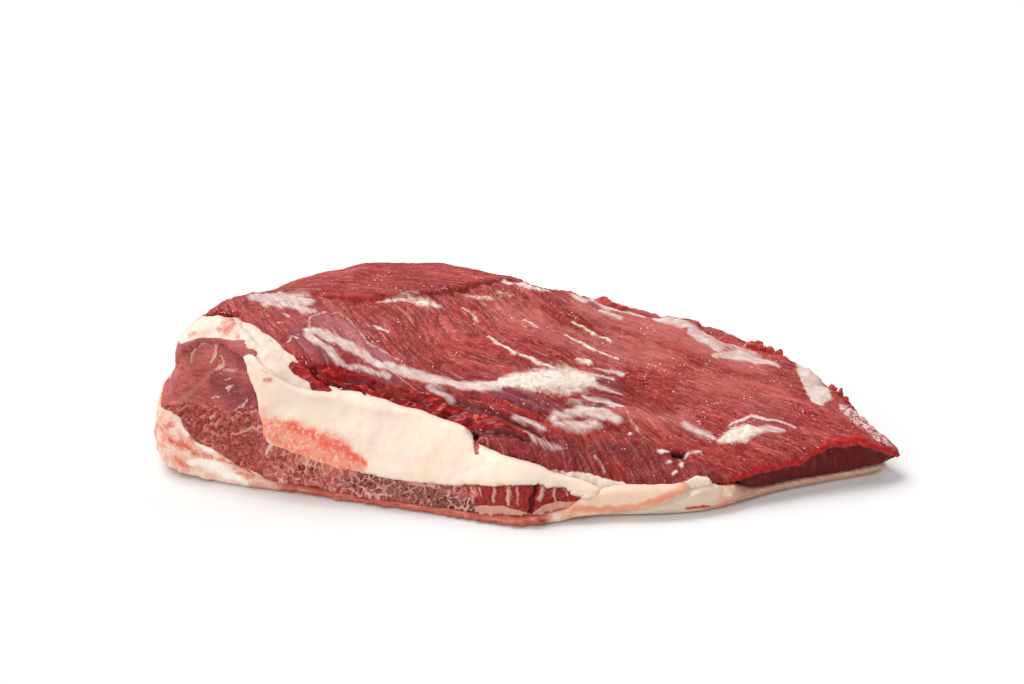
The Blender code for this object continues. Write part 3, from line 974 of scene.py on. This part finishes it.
def tail_cut(points, fray):
    """The tail's end was cut straight through: the plain dark face and its swollen red rim."""
    x, y, z = points.T
    below = on_line(x, CUT_RIM) - z + 1.2 * fray
    face_side = step(114, 124, x) * step(-30, -45, y)
    cut = step(0.5, 2.5, below) * face_side
    rim = np.clip(1 - np.abs(below + 0.6) / 2.6, 0, 1) * face_side
    return cut, rim


# %% Carve the flat muscle
BUNDLE_DEPTH = 3.0             # mm, how deep the grooves between two bundles are
CREVICE_DEPTH, HOLLOW_DEPTH, PIT_DEPTH = 2.4, 3.0, 5.0


def flat_muscle():
    bm = carving_block("flat_muscle", voxel=3.5, cuts=2)
    points, normals = points_of(bm), normals_of(bm)
    x, y, _ = points.T
    up = step(0.05, 0.45, normals[:, 2])
    fray = np.column_stack((lumps(points, 12, 3, seed=2), lumps(points, 12, 3, seed=3)))
    plan = points[:, :2] + 1.6 * fray
    relief, tone, grain = fibre_bundles(points, fray[:, 1])

    film = flat_film(points, plan, up)
    fat = painted(plan, FAT, 0.9) * up
    lobes = painted(plan, LOBES, 0.9) * up
    line = painted(plan, LINES, 0.9)
    seam_rim = step(0.8, -0.8, plan[:, 1] - on_line(x, SEAM_RIM)) * step(-133, -138, x)
    lip = lip_over_flat(points, fray[:, 0])
    cream = np.maximum(seam_rim, lip)
    veil, purple, bright, rosy = (painted(plan, paths, 0.8) for paths in (VEIL, PURPLE, BRIGHT, ROSY))
    ridge = sum(strength * stroke(points[:, :2], path, 0.8) for strength, path in RIDGES)
    wet = painted(plan, WET, 0.3)
    crevice = painted(plan, CREVICES, 0.8)
    pit = painted(points[:, :2], PIT)
    hollow = painted(points[:, :2], HOLLOWS, 0.8) * up
    cut, rim = tail_cut(points, fray[:, 0])
    back_edge = step(0.98, 0.9, normals[:, 2]) * step(10, 30, y + 0.3 * x) * step(-40, 60, x)
    speckle = painted(plan, TAIL_SPECKLE, 0.4) * (1 - rim) * (1 - cut) * step(-58, -52, y)

    # Bundles stand out less where something covers them, and at both ends of the brisket.
    calm = 0.55 * step(60, 120, x) + 0.5 * step(-110, -150, x)
    bundle_edge = step(-3, 3, edge_at(points, BUNDLE_EDGE)) * step(30, 10, x)
    covers = (0.7 * film, fat, lobes, 0.7 * wet, 0.95 * cut, rim, calm, 0.6 * bundle_edge, cream)
    cover = np.maximum.reduce(covers)
    height = (relief - 0.7) * BUNDLE_DEPTH * (1 - 0.85 * cover)
    wavy = points + np.column_stack((fray * 1.5, np.zeros(len(points))))
    height += ledge(wavy, FLAP, 2.4, 7, 4) + ledge(wavy, BUNDLE_EDGE[:-1], 0.9, 9, 3)
    for fold in FOLDS:
        height += ledge(wavy, fold, 1.2, 4, 3)
    height += 1.5 * lumps(points, 34, 2, seed=12) + 0.25 * (1 - cut) * lumps(points, 3.5, 2, seed=11)
    height += fat * (0.6 + 0.5 * lumps(points, 4.5, 2, seed=13)) + 0.3 * line + 1.2 * lip * step(66, 84, x)
    height += lobes * 2.0 + film * 0.5 * lumps(points, 7, 2, seed=14)
    height -= crevice * CREVICE_DEPTH + hollow * HOLLOW_DEPTH + pit * PIT_DEPTH
    height += wet * 2.0 * lumps(points, (10, 6, 8), 3, seed=15)
    height += rim * (1.0 + 1.2 * lumps(points, 3.5, 2, seed=17)) - cut * 1.2
    height += back_edge * 2.2 * lumps(points, 11, 3, seed=18) + 3.2 * ridge
    height = blend(height, -1.0, seam_rim)
    ragged_rim = creep(points, normals, "seam_fat", 1.5, 3.5, seed=19, proud=0.4)
    ragged_rim += creep(points, normals, "fat_cap", 1.0, 3.0, seed=49, proud=0.9, where=lip)
    move_points(bm, points + normals * height[:, None] + ragged_rim)

    # The dark value: the front slope darker in blotches, and painted shade in the crevices and hollows.
    slope = step(4, -4, edge_at(points, SLOPE_EDGE)) * step(-60, -20, x)
    blotch = step(-0.8, 0.4, lumps(points, 16, 3, seed=16))
    dark = np.maximum.reduce((slope * blend(0.1, 0.5, blotch), 0.8 * crevice, 0.3 * hollow))
    bare = (1 - fat) * (1 - lobes) * (1 - cream)
    # The relief value also sets the painted shade in the grooves between bundles.
    values = {
        "relief": np.maximum(relief, cover), "tone": tone, "line": line * bare, "dark": dark * bare,
        "film": np.maximum(film * (1 - wet), 0.85 * lobes), "fat": np.maximum(fat, 0.3 * lobes),
        "veil": veil, "purple": purple, "rosy": rosy, "bright": bright, "cream": cream,
        "wet": wet * (1 - 0.8 * crevice), "gloss": np.maximum(wet, 0.9 * lobes),
        "rim": rim, "cut": cut * (1 - rim), "pit": pit, "speckle": speckle,
    }
    finish_piece("lean_flat", bm, values, lean_material(), node="flat_muscle", grain=grain)


flat_muscle()

# %% [markdown]
# ## The fat seam
# The slab has soft, blunt edges and a gently uneven face, and its upper left end is a horn with
# a rounded tip. Above the horn lies a thinner, greyer band, with a crease between the two. The
# slab's lower left is stained with blood.

# %% Carve the fat seam
# Strokes on the front are drawn in x and z. The notch of wet meat under the band is drawn in plan.
CREASE = (
    (-182, 60), (-177, 73), (-174.5, 77), (-172, 78.3), (-169, 78.3), (-166, 77), (-162, 73.5), (-158, 71),
    (-153, 68), (-148, 66), (-143, 64), (-135, 62), (-115, 59.5), (-92, 55),
)
MEAT_TOP = (
    (-216, 78), (-211, 80.5), (-207, 82), (-202, 83), (-193, 83.5), (-184, 84), (-175, 84), (-173, 81.5),
    (-167, 80.5), (-165.5, 77), (-160, 68),
)
NOTCH = ((1.0, ((-140, -47.5, 5.5), (-128, -49, 7.5), (-112, -49, 8.5), (-95, -52, 7), (-80, -57, 5)),),)
# A small dark notch in the slab's right end, above the bars.
CORNER = ((1.0, ((-29.5, 42, 1.6), (-28.5, 36.5, 1.2))),)
STAIN = (
    (1.0, ((-161, 41, 5), (-150, 38, 9), (-138, 34, 10.5), (-125, 30.5, 10.5), (-112, 28, 9.5),
           (-101, 25, 5))),
)
STAIN_CORE = (
    (1.0, ((-147, 44, 1.5), (-138, 42, 2.2), (-128, 39, 2.8), (-118, 36, 3), (-110, 33, 2.6),
           (-103, 28.5, 2), (-97, 25, 1))),
)
PINK = (
    (0.9, ((-160, 52, 2), (-162, 46, 3), (-158, 42, 3))),
    (0.6, ((-172, 76, 2), (-166, 70, 3))),
    (0.5, ((-205, 86, 2), (-190, 87, 3), (-180, 87, 2))),
)
BAND_SPOTS = (
    (0.9, ((-192, 87, 1.6), (-188, 87, 1.8), (-184, 88, 1.4))),
    (0.9, ((-179, 86, 1.3), (-179, 85, 1.3))),
    (0.8, ((-212, 83, 1.2), (-207, 84, 1.2))),
    (0.7, ((-190, 90, 1.5), (-182, 89, 1.5))),
    (0.6, ((-162, 70.5, 1), (-159, 69, 1))),
    (0.9, ((-161, 66, 0.9), (-156, 66, 1))),
)


def waist(points):
    """Moves that draw the thick end in a little, halfway up."""
    x, _, z = points.T
    return np.outer(5.0 * np.exp(-((z - 60) / 13) ** 2) * step(-200, -226, x), (1, 0, 0))


def under_flat_rim(p):
    return p.x < -130 and -60 < p.y < on_line(p.x, SEAM_RIM) + 4 and p.z > 60


def flat_top(points):
    """The height of the flat's CAD form above each point, in mm, or 0 where it has none."""
    down = Vector((0, 0, -1))
    above = [Vector((px, py, 0.3)) for px, py, _ in points * MM + FOOT]
    hits = [trees["flat_muscle"].ray_cast(start, down)[0] for start in above]
    return np.array([hit.z / MM if hit else 0 for hit in hits])


def meat_on_seam(points, plan, over, front):
    """Where meat shows on the seam: wet in the notch, and a clean cut under the left band."""
    x, y, z = points.T
    wet = painted(plan, NOTCH, 0.15) * step(-0.5, 0.8, over)
    beyond = step(-141, -136, x + 0.5 * (y + 45)) * step(-70, -80, x) * step(5, -5, y)
    wet = np.maximum(wet, beyond * step(-0.3, 0.6, over))
    below_meat_top = on_line(x, MEAT_TOP) - z + 0.3 * lumps(points, 5, 2, seed=29)
    dusk = step(-0.3, 0.4, below_meat_top) * step(-0.3, 0.4, over)
    return wet, dusk * front * step(-157, -161, x)


def seam_fat():
    bm = carving_block("seam_fat", voxel=2.4, cuts=1, also=under_flat_rim)
    points, normals = points_of(bm), normals_of(bm)
    x, y, z = points.T
    front = step(0.1, -0.3, normals[:, 1])
    wall = points[:, [0, 2]] + 1.2 * lumps(points, 8, 3, seed=20)[:, None]
    plan = points[:, :2] + 1.2 * lumps(points, 6, 3, seed=27)[:, None]
    over = z - on_line(x, CREASE) + 0.3 * lumps(points, 6, 2, seed=26)
    wet, dusk = meat_on_seam(points, plan, over, front)
    corner = painted(wall, CORNER, 0.15) * step(-50, -60, y)
    band = step(-0.6, 0.6, over) * (1 - wet) * (1 - dusk) * step(-120, -128, x)
    # The crease is carved a little and painted darker as its shade.
    crease = np.exp(-((over - 0.4) / 1.0) ** 2) * step(-128, -134, x) * step(-182, -172, x)
    slab_edge = np.exp(-((over + 3) / 3) ** 2) * step(-176, -168, x) * step(-10, -40, x)
    height = 1.3 * lumps(points, (30, 30, 18), 2, seed=21) + 0.35 * lumps(points, 8, 2, seed=22)
    height += slab_edge * 1.6 - band * 0.4 - wet * 0.8 - crease * 0.5 - corner * 1.2
    height += wet * 1.4 * lumps(points, 4, 3, seed=24) + band * 0.8 * lumps(points, 7, 2, seed=23)
    teeth = creep(points, normals, "point_muscle", 2.5, 3, seed=25, lump=3.0, where=step(60, 50, z))
    teeth += creep(points, normals, "point_muscle", 1.0, 4, seed=28, proud=1.4, where=dusk)
    # The band's upper rim lies on the flat's shoulder, so it is lifted onto the flat's surface.
    on_shoulder = step(1.2, -1.2, plan[:, 1] - on_line(x, SEAM_RIM)) * step(-130, -138, x)
    lift = on_shoulder * step(0.0, 0.3, normals[:, 2]) * np.clip(flat_top(points) + 1.0 - z, 0, 14)
    teeth[:, 2] += lift
    move_points(bm, points + normals * height[:, None] + teeth + waist(points))
    values = {
        "stain": painted(wall, STAIN, 0.6) * front, "core": painted(wall, STAIN_CORE, 0.9) * front,
        "pink": painted(wall, PINK, 1.0), "blot": painted(wall, BAND_SPOTS, 1.0), "band": band,
        "crease": crease, "wet": wet, "dusk": np.maximum(dusk, corner),
    }
    finish_piece("fat_seam", bm, values, hard_fat_material(), node="seam_fat")


seam_fat()

# %% [markdown]
# ## The point muscle: what shows on its cut face
# The upper left of the point muscle is a smooth cut face. A pale seam splits it from top to
# lower left, and single flecks of fat lie in its darker right half. All strokes here are in x
# and z, in mm.

# %% Seams, flecks and fat of the point muscle
SEAMS = (
    (1.0, ((-196, 84, 1.2), (-193, 80, 1.2), (-193, 75, 1), (-196, 71, 0.9))),
    (0.9, ((-210, 69, 0.8), (-209, 73, 0.7), (-205, 77, 0.8), (-197, 81, 0.9))),
    (0.9, ((-193, 83, 0.9), (-186, 84, 0.8), (-180, 84, 0.8), (-173, 83, 0.8))),
    (0.9, ((-190, 74, 0.8), (-188, 70, 1), (-192, 67, 1.2))),
    (0.7, ((-188, 67, 0.6), (-183, 68, 0.6), (-179, 69, 0.5))),
)
STRAP = (
    (1.0, ((-190, 69, 1.2), (-198, 63, 1.8), (-203, 58, 2), (-209, 53, 2.2), (-215, 49, 2.4), (-223, 45, 2))),
)
FLECKS = (
    (0.9, ((-186, 57, 0.5), (-183, 58.5, 0.8), (-180, 60, 0.5))),
    (0.9, ((-184, 60, 0.5), (-183, 56, 0.6))),
    (0.9, ((-186, 63, 0.5), (-182, 64, 0.6))),
    (0.8, ((-194, 52, 0.6), (-190, 53, 0.6))),
    (0.9, ((-184, 79, 0.6), (-183.5, 80, 0.6))),
    (0.8, ((-211, 64, 0.6), (-210, 63, 0.6))),
    (0.8, ((-179, 48, 0.6), (-175, 51, 0.9), (-170, 54, 0.6))),
    (0.7, ((-177, 46, 0.6), (-170, 48, 0.8), (-163, 49, 0.9))),
    (0.8, ((-182, 33, 0.6), (-174, 36.5, 1.1), (-165, 40, 1.4), (-158, 41, 1.3))),
    (1.0, ((-159, 24, 1), (-156, 28, 1.3), (-150, 34, 2))),
    (0.8, ((-196, 40, 0.6), (-193, 43, 0.6))),
    (0.8, ((-200, 35, 0.5), (-199, 31, 0.6))),
)
SHADE = (
    (0.85, ((-192, 60, 6), (-180, 58, 8), (-170, 56, 6))),
    (0.5, ((-188, 76, 5), (-176, 74, 6))),
    (0.7, ((-213, 74, 2), (-206, 79, 2.2), (-199, 82, 1.6))),
)

# Above the first line the meat is a smooth cut, and below it crumbs. Fat covers it below the next.
CRUMB_TOP = (
    (-232, 42), (-226, 44), (-215, 48), (-207, 50), (-199, 48), (-189, 48), (-178, 49), (-170, 52),
    (-160, 53), (-150, 53),
)
CAP_REACH = (
    (-235, 39), (-227, 39.5), (-221, 40), (-215, 38), (-212, 32), (-207, 26), (-201, 23), (-194, 21),
    (-186, 17), (-179, 15), (-170, 12), (-162, 9), (-155, 6), (-144, 4),
)
BARS = (
    (1.0, ((-26, 22, 0.9), (-26, 15, 0.6))),
    (1.0, ((-18, 23, 1.2), (-18, 17, 1.1), (-18, 13, 0.7))),
    (1.0, ((-10.5, 24, 1.2), (-9, 18, 1.2), (-10, 12, 0.8))),
    (0.8, ((-4.5, 24, 0.7), (-4, 19, 0.8), (-4, 12, 0.7))),
    (1.0, ((10, 24, 1.4), (10, 18, 1.3), (9, 14, 0.8))),
    (1.0, ((16.5, 23, 1.0), (18, 18, 1.2), (19, 14, 0.8))),
    (0.9, ((24, 22, 0.8), (25, 16, 0.8))),
    (0.9, ((31, 20, 0.7), (32, 15, 0.8))),
)
BROWN = (
    (0.7, ((-112, 12, 3), (-92, 14, 6), (-75, 12, 7), (-62, 10, 7), (-48, 10, 6))),
    (1.0, ((-60, 5, 4), (-51, 5, 4))),
    (1.0, ((-43, 8, 5), (-27, 8, 4))),
)
# The notch between two bars is carved and painted near black as its shade.
BAR_NOTCH = ((1.0, ((7, 25, 0.9), (6, 19, 1.2), (4.5, 14, 1.8), (3, 9, 1.5))),)
BAR_FOOT = (
    (-34, 8), (-26, 10), (-13, 11.5), (-5, 11), (4, 7), (10, 12), (19, 13), (33, 12.5), (43, 15), (60, 17),
)
NICK = ((1.0, ((-236, 48, 4), (-221, 48, 2))),)      # a dent in the thick end, over the curl
CAP_BLOTS = (
    (0.8, ((-223, 32, 2.2), (-219, 33, 2))),
    (1.0, ((-222, 23, 2.4), (-216, 22, 3.4), (-209, 21, 2.6))),
    (0.9, ((-206, 18, 2.6), (-200, 17, 3.2), (-195, 16, 2.4))),
    (0.9, ((-219, 12, 2.2), (-213, 9, 2.4))),
    (0.8, ((-191, 15, 1.8), (-187, 17, 1.6))),
    (0.8, ((-179, 9, 1.8), (-174, 9, 2), (-168, 8, 1.6))),
    (0.7, ((-228, 27, 3), (-227, 18, 3))),
)
CAP_WHITE = (
    (1.0, ((-210, 11, 2), (-199, 13, 4), (-190, 10, 4.5), (-181, 7, 4), (-174, 4, 3))),
    (0.8, ((-204, 25, 1.2), (-199, 22, 1.8), (-194, 21, 1.2))),
    (0.7, ((-215, 33, 2), (-210, 29, 2))),
)

# %% [markdown]
# ## The point muscle: grains and lace
# Below the smooth face the meat crumbles. Cells make the grains, and bigger cells gather them
# in clusters. Where the lace attribute is high the gaps are filled with pale fat, and where it
# is low they are left deep and painted dark as their shade. Under the slab the meat is in
# upright bars, because there the knife ran along a sheet of it.

# %% Grains, lace and gaps
CRUMB, CLUSTER = 2.5, 5.2      # mm, the width of one grain of coarse meat, and of a cluster
BORDER, CLUSTER_BORDER = 0.22, 0.14      # how wide the gaps round them are, as shares of a cell
LACE_REACH = 0.3                         # how wide the lace of fat is, the same way


def crumble(points, warp, bend):
    """Coarse meat in grains: where they are, their tones, the lace, the gaps between them that
    are painted dark as their shade, and how far each point stands out."""
    x, _, z = points.T
    crumbs = SimpleNamespace(patch=lumps(points, 15, 2, seed=32))
    crumbs.share = step(1.5, -2.5, z + warp - on_line(x, CRUMB_TOP))
    nearest, border, crumbs.tone = cells(points + 1.5 * bend, CRUMB, seed=31)
    _, cluster, _ = cells(points + 2.2 * bend, CLUSTER, seed=36)
    laced = step(-172, -146, x + 3 * warp) * step(-24, -34, x)
    lace = np.clip(laced * (0.5 + 0.2 * crumbs.patch) + 0.35 + 0.2 * crumbs.patch, 0, 1)
    near = np.maximum(0.5 * (1 - border / LACE_REACH), 1 - cluster / LACE_REACH)
    crumbs.net = crumbs.share * lace * np.clip(near, 0, 1) * 1.2
    missing = step(0.35, 0.6, lumps(points, 3.5, 2, seed=33) + 0.25 * laced)
    # Painted shade: dark in the crevices round grains and clusters, and where grains are missing.
    crevice = np.maximum(0.7 * (1 - border / BORDER), 1.2 * (1 - cluster / CLUSTER_BORDER))
    dark = np.maximum((1 - 0.8 * laced) * np.clip(crevice, 0, 1), missing * (1 - crumbs.net))
    crumbs.gap = crumbs.share * dark
    rounded = 0.8 * (0.5 - nearest) + 0.9 * step(0, 0.4, cluster) - 0.3
    crumbs.rise = blend(rounded, 1.5 * crumbs.net - 0.7, laced * lace) - crumbs.gap * 0.9
    return crumbs


# %% Carve the point muscle
def point_muscle():
    bm = carving_block("point_muscle", voxel=2.4, cuts=1, finer=lambda c: c.y < -30 and c.z < 55)
    points, normals = points_of(bm), normals_of(bm)
    x, y, z = points.T
    warp = 2.5 * lumps(points, 11, 2, seed=30)
    bend = np.column_stack([lumps(points, 5, 2, seed=seed) for seed in (41, 42, 43)])
    wall = points[:, [0, 2]] + 1.3 * bend[:, :2]
    crumbs = crumble(points, warp, bend)
    crumbly = crumbs.share

    bars = step(-31, -26, x + 3 * bend[:, 0]) * step(5, 8, z)
    streaks = painted(wall, BARS, 1.3) * bars
    wet = painted(wall, BAR_NOTCH, 0.6)
    foot = step(1.0, -1.0, z + 0.5 * warp - on_line(x, BAR_FOOT)) * step(-34, -26, x)
    fat = step(1.0, -1.0, z + 0.8 * warp - on_line(x, CAP_REACH)) * step(-143, -150, x)
    brown = painted(wall, BROWN, 0.9)
    front = step(40, 10, y)
    seam, strap, flecks = (painted(wall, paths, 0.9) * front for paths in (SEAMS, STRAP, FLECKS))
    nick = painted(points[:, [0, 2]], NICK, 0.8)

    grainy = crumbly * (1 - np.maximum(fat, bars))
    height = grainy * crumbs.rise
    height += (1 - crumbly) * 0.6 * crumbs.patch + 1.3 * lumps(points, 24, 2, seed=35)
    height += 0.5 * flecks + fat * (0.8 + 1.3 * lumps(points, 8, 3, seed=38)) - 0.4 * seam - 3.0 * nick
    height += bars * (0.9 * streaks + 0.6 * lumps(points, (2.5, 20, 20), 2, seed=37)) - 2.0 * wet
    shift = creep(points, normals, "fat_cap", 1.5, 2.5, seed=39, lump=3.0, where=step(-170, -150, x))
    shift += creep(points, normals, "seam_fat", 1.5, 4, seed=40, lump=8, proud=1.2, where=step(66, 72, z))
    under_stain = step(-164, -158, x) * step(-100, -112, x) * step(44, 38, z) * step(10, 14, z)
    shift += creep(points, normals, "seam_fat", 8, 4, seed=50, lump=5, proud=0.8, where=under_stain)
    move_points(bm, points + normals * height[:, None] + shift + waist(points))
    bare = (1 - seam) * (1 - fat)
    values = {
        "crumbly": crumbly, "tone": crumbs.tone, "net": crumbs.net * (1 - bars) * (1 - fat), "foot": foot,
        "gap": crumbs.gap * (1 - bars) * (1 - flecks) * (1 - fat), "brown": brown * crumbly, "bars": bars,
        "seam": np.maximum(seam * (1 - crumbly), streaks), "fleck": flecks * bare, "wet": wet, "fat": fat,
        "strap": strap * (1 - crumbly) * (1 - seam), "shade": painted(wall, SHADE, 0.8) * front,
        "blot": painted(wall, CAP_BLOTS, 1.0), "white": painted(wall, CAP_WHITE, 0.9),
    }
    finish_piece("lean_point", bm, values, coarse_material(), node="point_muscle")


point_muscle()

# %% [markdown]
# ## The fat cap
# At the thick end the cap curls up round the meat in soft lobes. Along the front it is a thin,
# ragged, meaty edge. Under the flat it folds over itself in a long smooth lip, whose tip stands
# up over the meat.

# %% Carve the fat cap
FOLD = ((20, 2), (46, 4), (65, 5.5), (76, 8), (92, 12.5), (104, 17), (112, 19))
FOLD_ORANGE = (
    (0.9, ((30, 9, 1.6), (42, 8, 2.2), (56, 7, 2.2), (68, 8.5, 2), (82, 11.5, 2), (96, 15, 1.4))),
    (0.6, ((8, 9, 2), (20, 10, 2.5), (30, 8, 2))),
    (0.8, ((114, 3, 1.2), (121, 4, 1.2), (127, 6, 0.8))),
)
FOLD_BLOOD = ((1.0, ((98, 5, 0.9), (104, 4, 1.3), (112, 3.5, 1))),)


def fat_cap():
    bm = carving_block("fat_cap", voxel=2.2, cuts=1)
    points, normals = points_of(bm), normals_of(bm)
    x, y, z = points.T
    side = step(0.25, -0.1, np.abs(normals[:, 2]) - 0.7)
    wall = points[:, [0, 2]] + 1.2 * lumps(points, 9, 3, seed=44)[:, None]
    front = step(0.1, -0.3, normals[:, 1])
    near_front = step(-30, -60, y)
    meaty = step(-166, -140, x) * step(24, 6, x) * near_front
    curl = step(-150, -185, x)
    in_fold = step(20, 40, x) * step(122, 114, x) * near_front
    over = z - on_line(x, FOLD) + 0.5 * lumps(points, 12, 2, seed=45)
    flap = step(-0.5, 0.5, over) * in_fold
    under_flap = np.exp(-((over + 1.4) / 1.3) ** 2) * in_fold
    height = side * (
        meaty * 2.0 * lumps(points, (5, 5, 3.5), 3, seed=40)
        + curl * 2.2 * lumps(points, (11, 11, 8), 3, seed=41)
        + in_fold * 1.2 * lumps(points, (24, 20, 8), 2, seed=42)
    )
    height += flap * 2.0 - under_flap * 1.8
    tip = np.exp(-((x - 104) / 10) ** 2) * in_fold
    shift = creep(points, normals, "flat_muscle", 1.5, 3.0, seed=46, where=in_fold)
    shift += creep(points, normals, "flat_muscle", 6.0, 4.0, seed=48, lump=30, proud=1.0, where=tip)
    shift += creep(points, normals, "point_muscle", 1.5, 2.5, seed=47, where=curl)
    move_points(bm, points + normals * height[:, None] + shift)
    values = {
        "white": painted(wall, CAP_WHITE, 0.9), "blot": painted(wall, CAP_BLOTS, 1.0) * front,
        "meaty": meaty, "cream": flap, "grey": in_fold * (1 - flap) * step(40, 70, x),
        # Beige-brown past x = 118 mm is painted shade under the cut end.
        "tan": step(118, 135, x) * side, "orange": painted(wall, FOLD_ORANGE, 0.7) * near_front,
        "blood": painted(wall, FOLD_BLOOD, 0.6) * near_front,
    }
    finish_piece("fat_underside", bm, values, cap_material(), node="fat_cap")


fat_cap()

# %% [markdown]
# ## Tags of meat
# A few small shreds stick up along the back edge, where the knife tore the surface. Each is a
# little ball of mesh, pushed out of shape by noise, and set into the flat where a ray from above
# meets it.

# %% Tags along the back edge
TAGS = (
    (54, 64, 5.5, 3.4), (60, 62, 5.0, 3.0), (66, 59, 3.5, 2.6), (152, 39, 4.0, 3.6), (157, 37, 4.5, 5.0),
    (163, 35, 4.0, 5.5), (168, 31, 3.5, 5.0), (201, 0, 2.4, 4.5), (205, -4, 2.2, 5.5), (208, -9, 1.8, 3.0),
)
LEAN_VALUES = (
    "film", "fat", "line", "veil", "purple", "rosy", "dark", "wet", "cut", "pit", "speckle", "cream", "rim"
)


def tags():
    bm = bmesh.new()
    for x, y, radius, height in TAGS:
        start = Vector((x, y, 200)) * MM + Vector(FOOT)
        ground = trees["flat_muscle"].ray_cast(start, Vector((0, 0, -1)))[0]
        if ground is None:
            continue
        ball = bmesh.ops.create_icosphere(bm, subdivisions=4, radius=MM)["verts"]
        for v in ball:
            bulge = 0.95 + 0.5 * noise.fractal(v.co / MM * 0.9 + Vector((x, y, 0)), 0.9, 2.0, 3)
            v.co = Vector((v.co.x * radius, v.co.y * radius * 0.8, v.co.z * height)) * bulge + ground
    points = points_of(bm)
    count = len(points)
    values = {key: np.zeros(count) for key in LEAN_VALUES}
    values |= {key: np.full(count, 1.0) for key in ("relief", "bright")}
    values |= {key: np.full(count, 0.5) for key in ("tone", "gloss", "rosy")}
    lean = bpy.data.materials["fresh_lean_beef"]
    finish_piece("meat_tags", bm, values, lean, grain=points)


tags()

# %% [markdown]
# ## Table, light and camera
# The brisket is shown on a plain white table under soft studio light: one broad lamp overhead,
# a little behind, a weaker one from the back right, one broad fill from the front left, and a
# white room all round.

# %% The table
TABLE_WIDTH = 8.0
table_bm = bmesh.new()
bmesh.ops.create_grid(table_bm, x_segments=1, y_segments=1, size=TABLE_WIDTH / 2)
table_mesh = bpy.data.meshes.new("table")
table_bm.to_mesh(table_mesh)
table_bm.free()
table = bpy.data.objects.new("table", table_mesh)
bpy.context.scene.collection.objects.link(table)
table_paint, _, table_shader = new_material("matt_white_laminate")
table_shader.inputs["Base Color"].default_value = colour("#e8e7e6")
table_shader.inputs["Roughness"].default_value = 0.7
table_mesh.materials.append(table_paint)

# %% The light
ROOM_LIGHT = 0.42
world = bpy.data.worlds.new("white_room")
world.use_nodes = True
world.node_tree.nodes["Background"].inputs["Color"].default_value = (1, 1, 1, 1)
world.node_tree.nodes["Background"].inputs["Strength"].default_value = ROOM_LIGHT
bpy.context.scene.world = world


def soft_sun(name, toward, spread, strength):
    """A distant lamp, seen from the table in the direction toward, as wide as spread degrees."""
    lamp = bpy.data.lights.new(name, "SUN")
    lamp.angle = math.radians(spread)
    lamp.energy = strength
    obj = bpy.data.objects.new(name, lamp)
    obj.rotation_euler = Vector(toward).to_track_quat("Z", "Y").to_euler()
    bpy.context.scene.collection.objects.link(obj)
    return obj


soft_sun("overhead", (-0.5, 0.5, 1.0), 40, 2.05)
soft_sun("back_rim", (0.5, 0.9, 0.6), 40, 0.4)
soft_sun("sparkle", (-0.2, 0.5, 1.0), 10, 0.35)
soft_sun("front_fill", (-0.5, -0.75, 0.55), 60, 1.14)

# %% The camera
ELEVATION = math.radians(22)
DISTANCE = 1.30      # m
LENS = 70            # mm
AIM_X, AIM_Y, AIM_Z = -0.016, 0.0745, 0.664      # from the middle of the foot, as shares of the box
target = Vector((middle.x + AIM_X * size.x, middle.y + AIM_Y * size.y, AIM_Z * size.z))
back_to_camera = Vector((0, -math.cos(ELEVATION), math.sin(ELEVATION)))
camera_data = bpy.data.cameras.new("camera")
camera_data.lens = LENS
camera = bpy.data.objects.new("camera", camera_data)
camera.location = target + back_to_camera * DISTANCE
camera.rotation_euler = (-back_to_camera).to_track_quat("-Z", "Y").to_euler()
bpy.context.scene.collection.objects.link(camera)
bpy.context.scene.camera = camera
bpy.context.scene.view_settings.view_transform = "Standard"
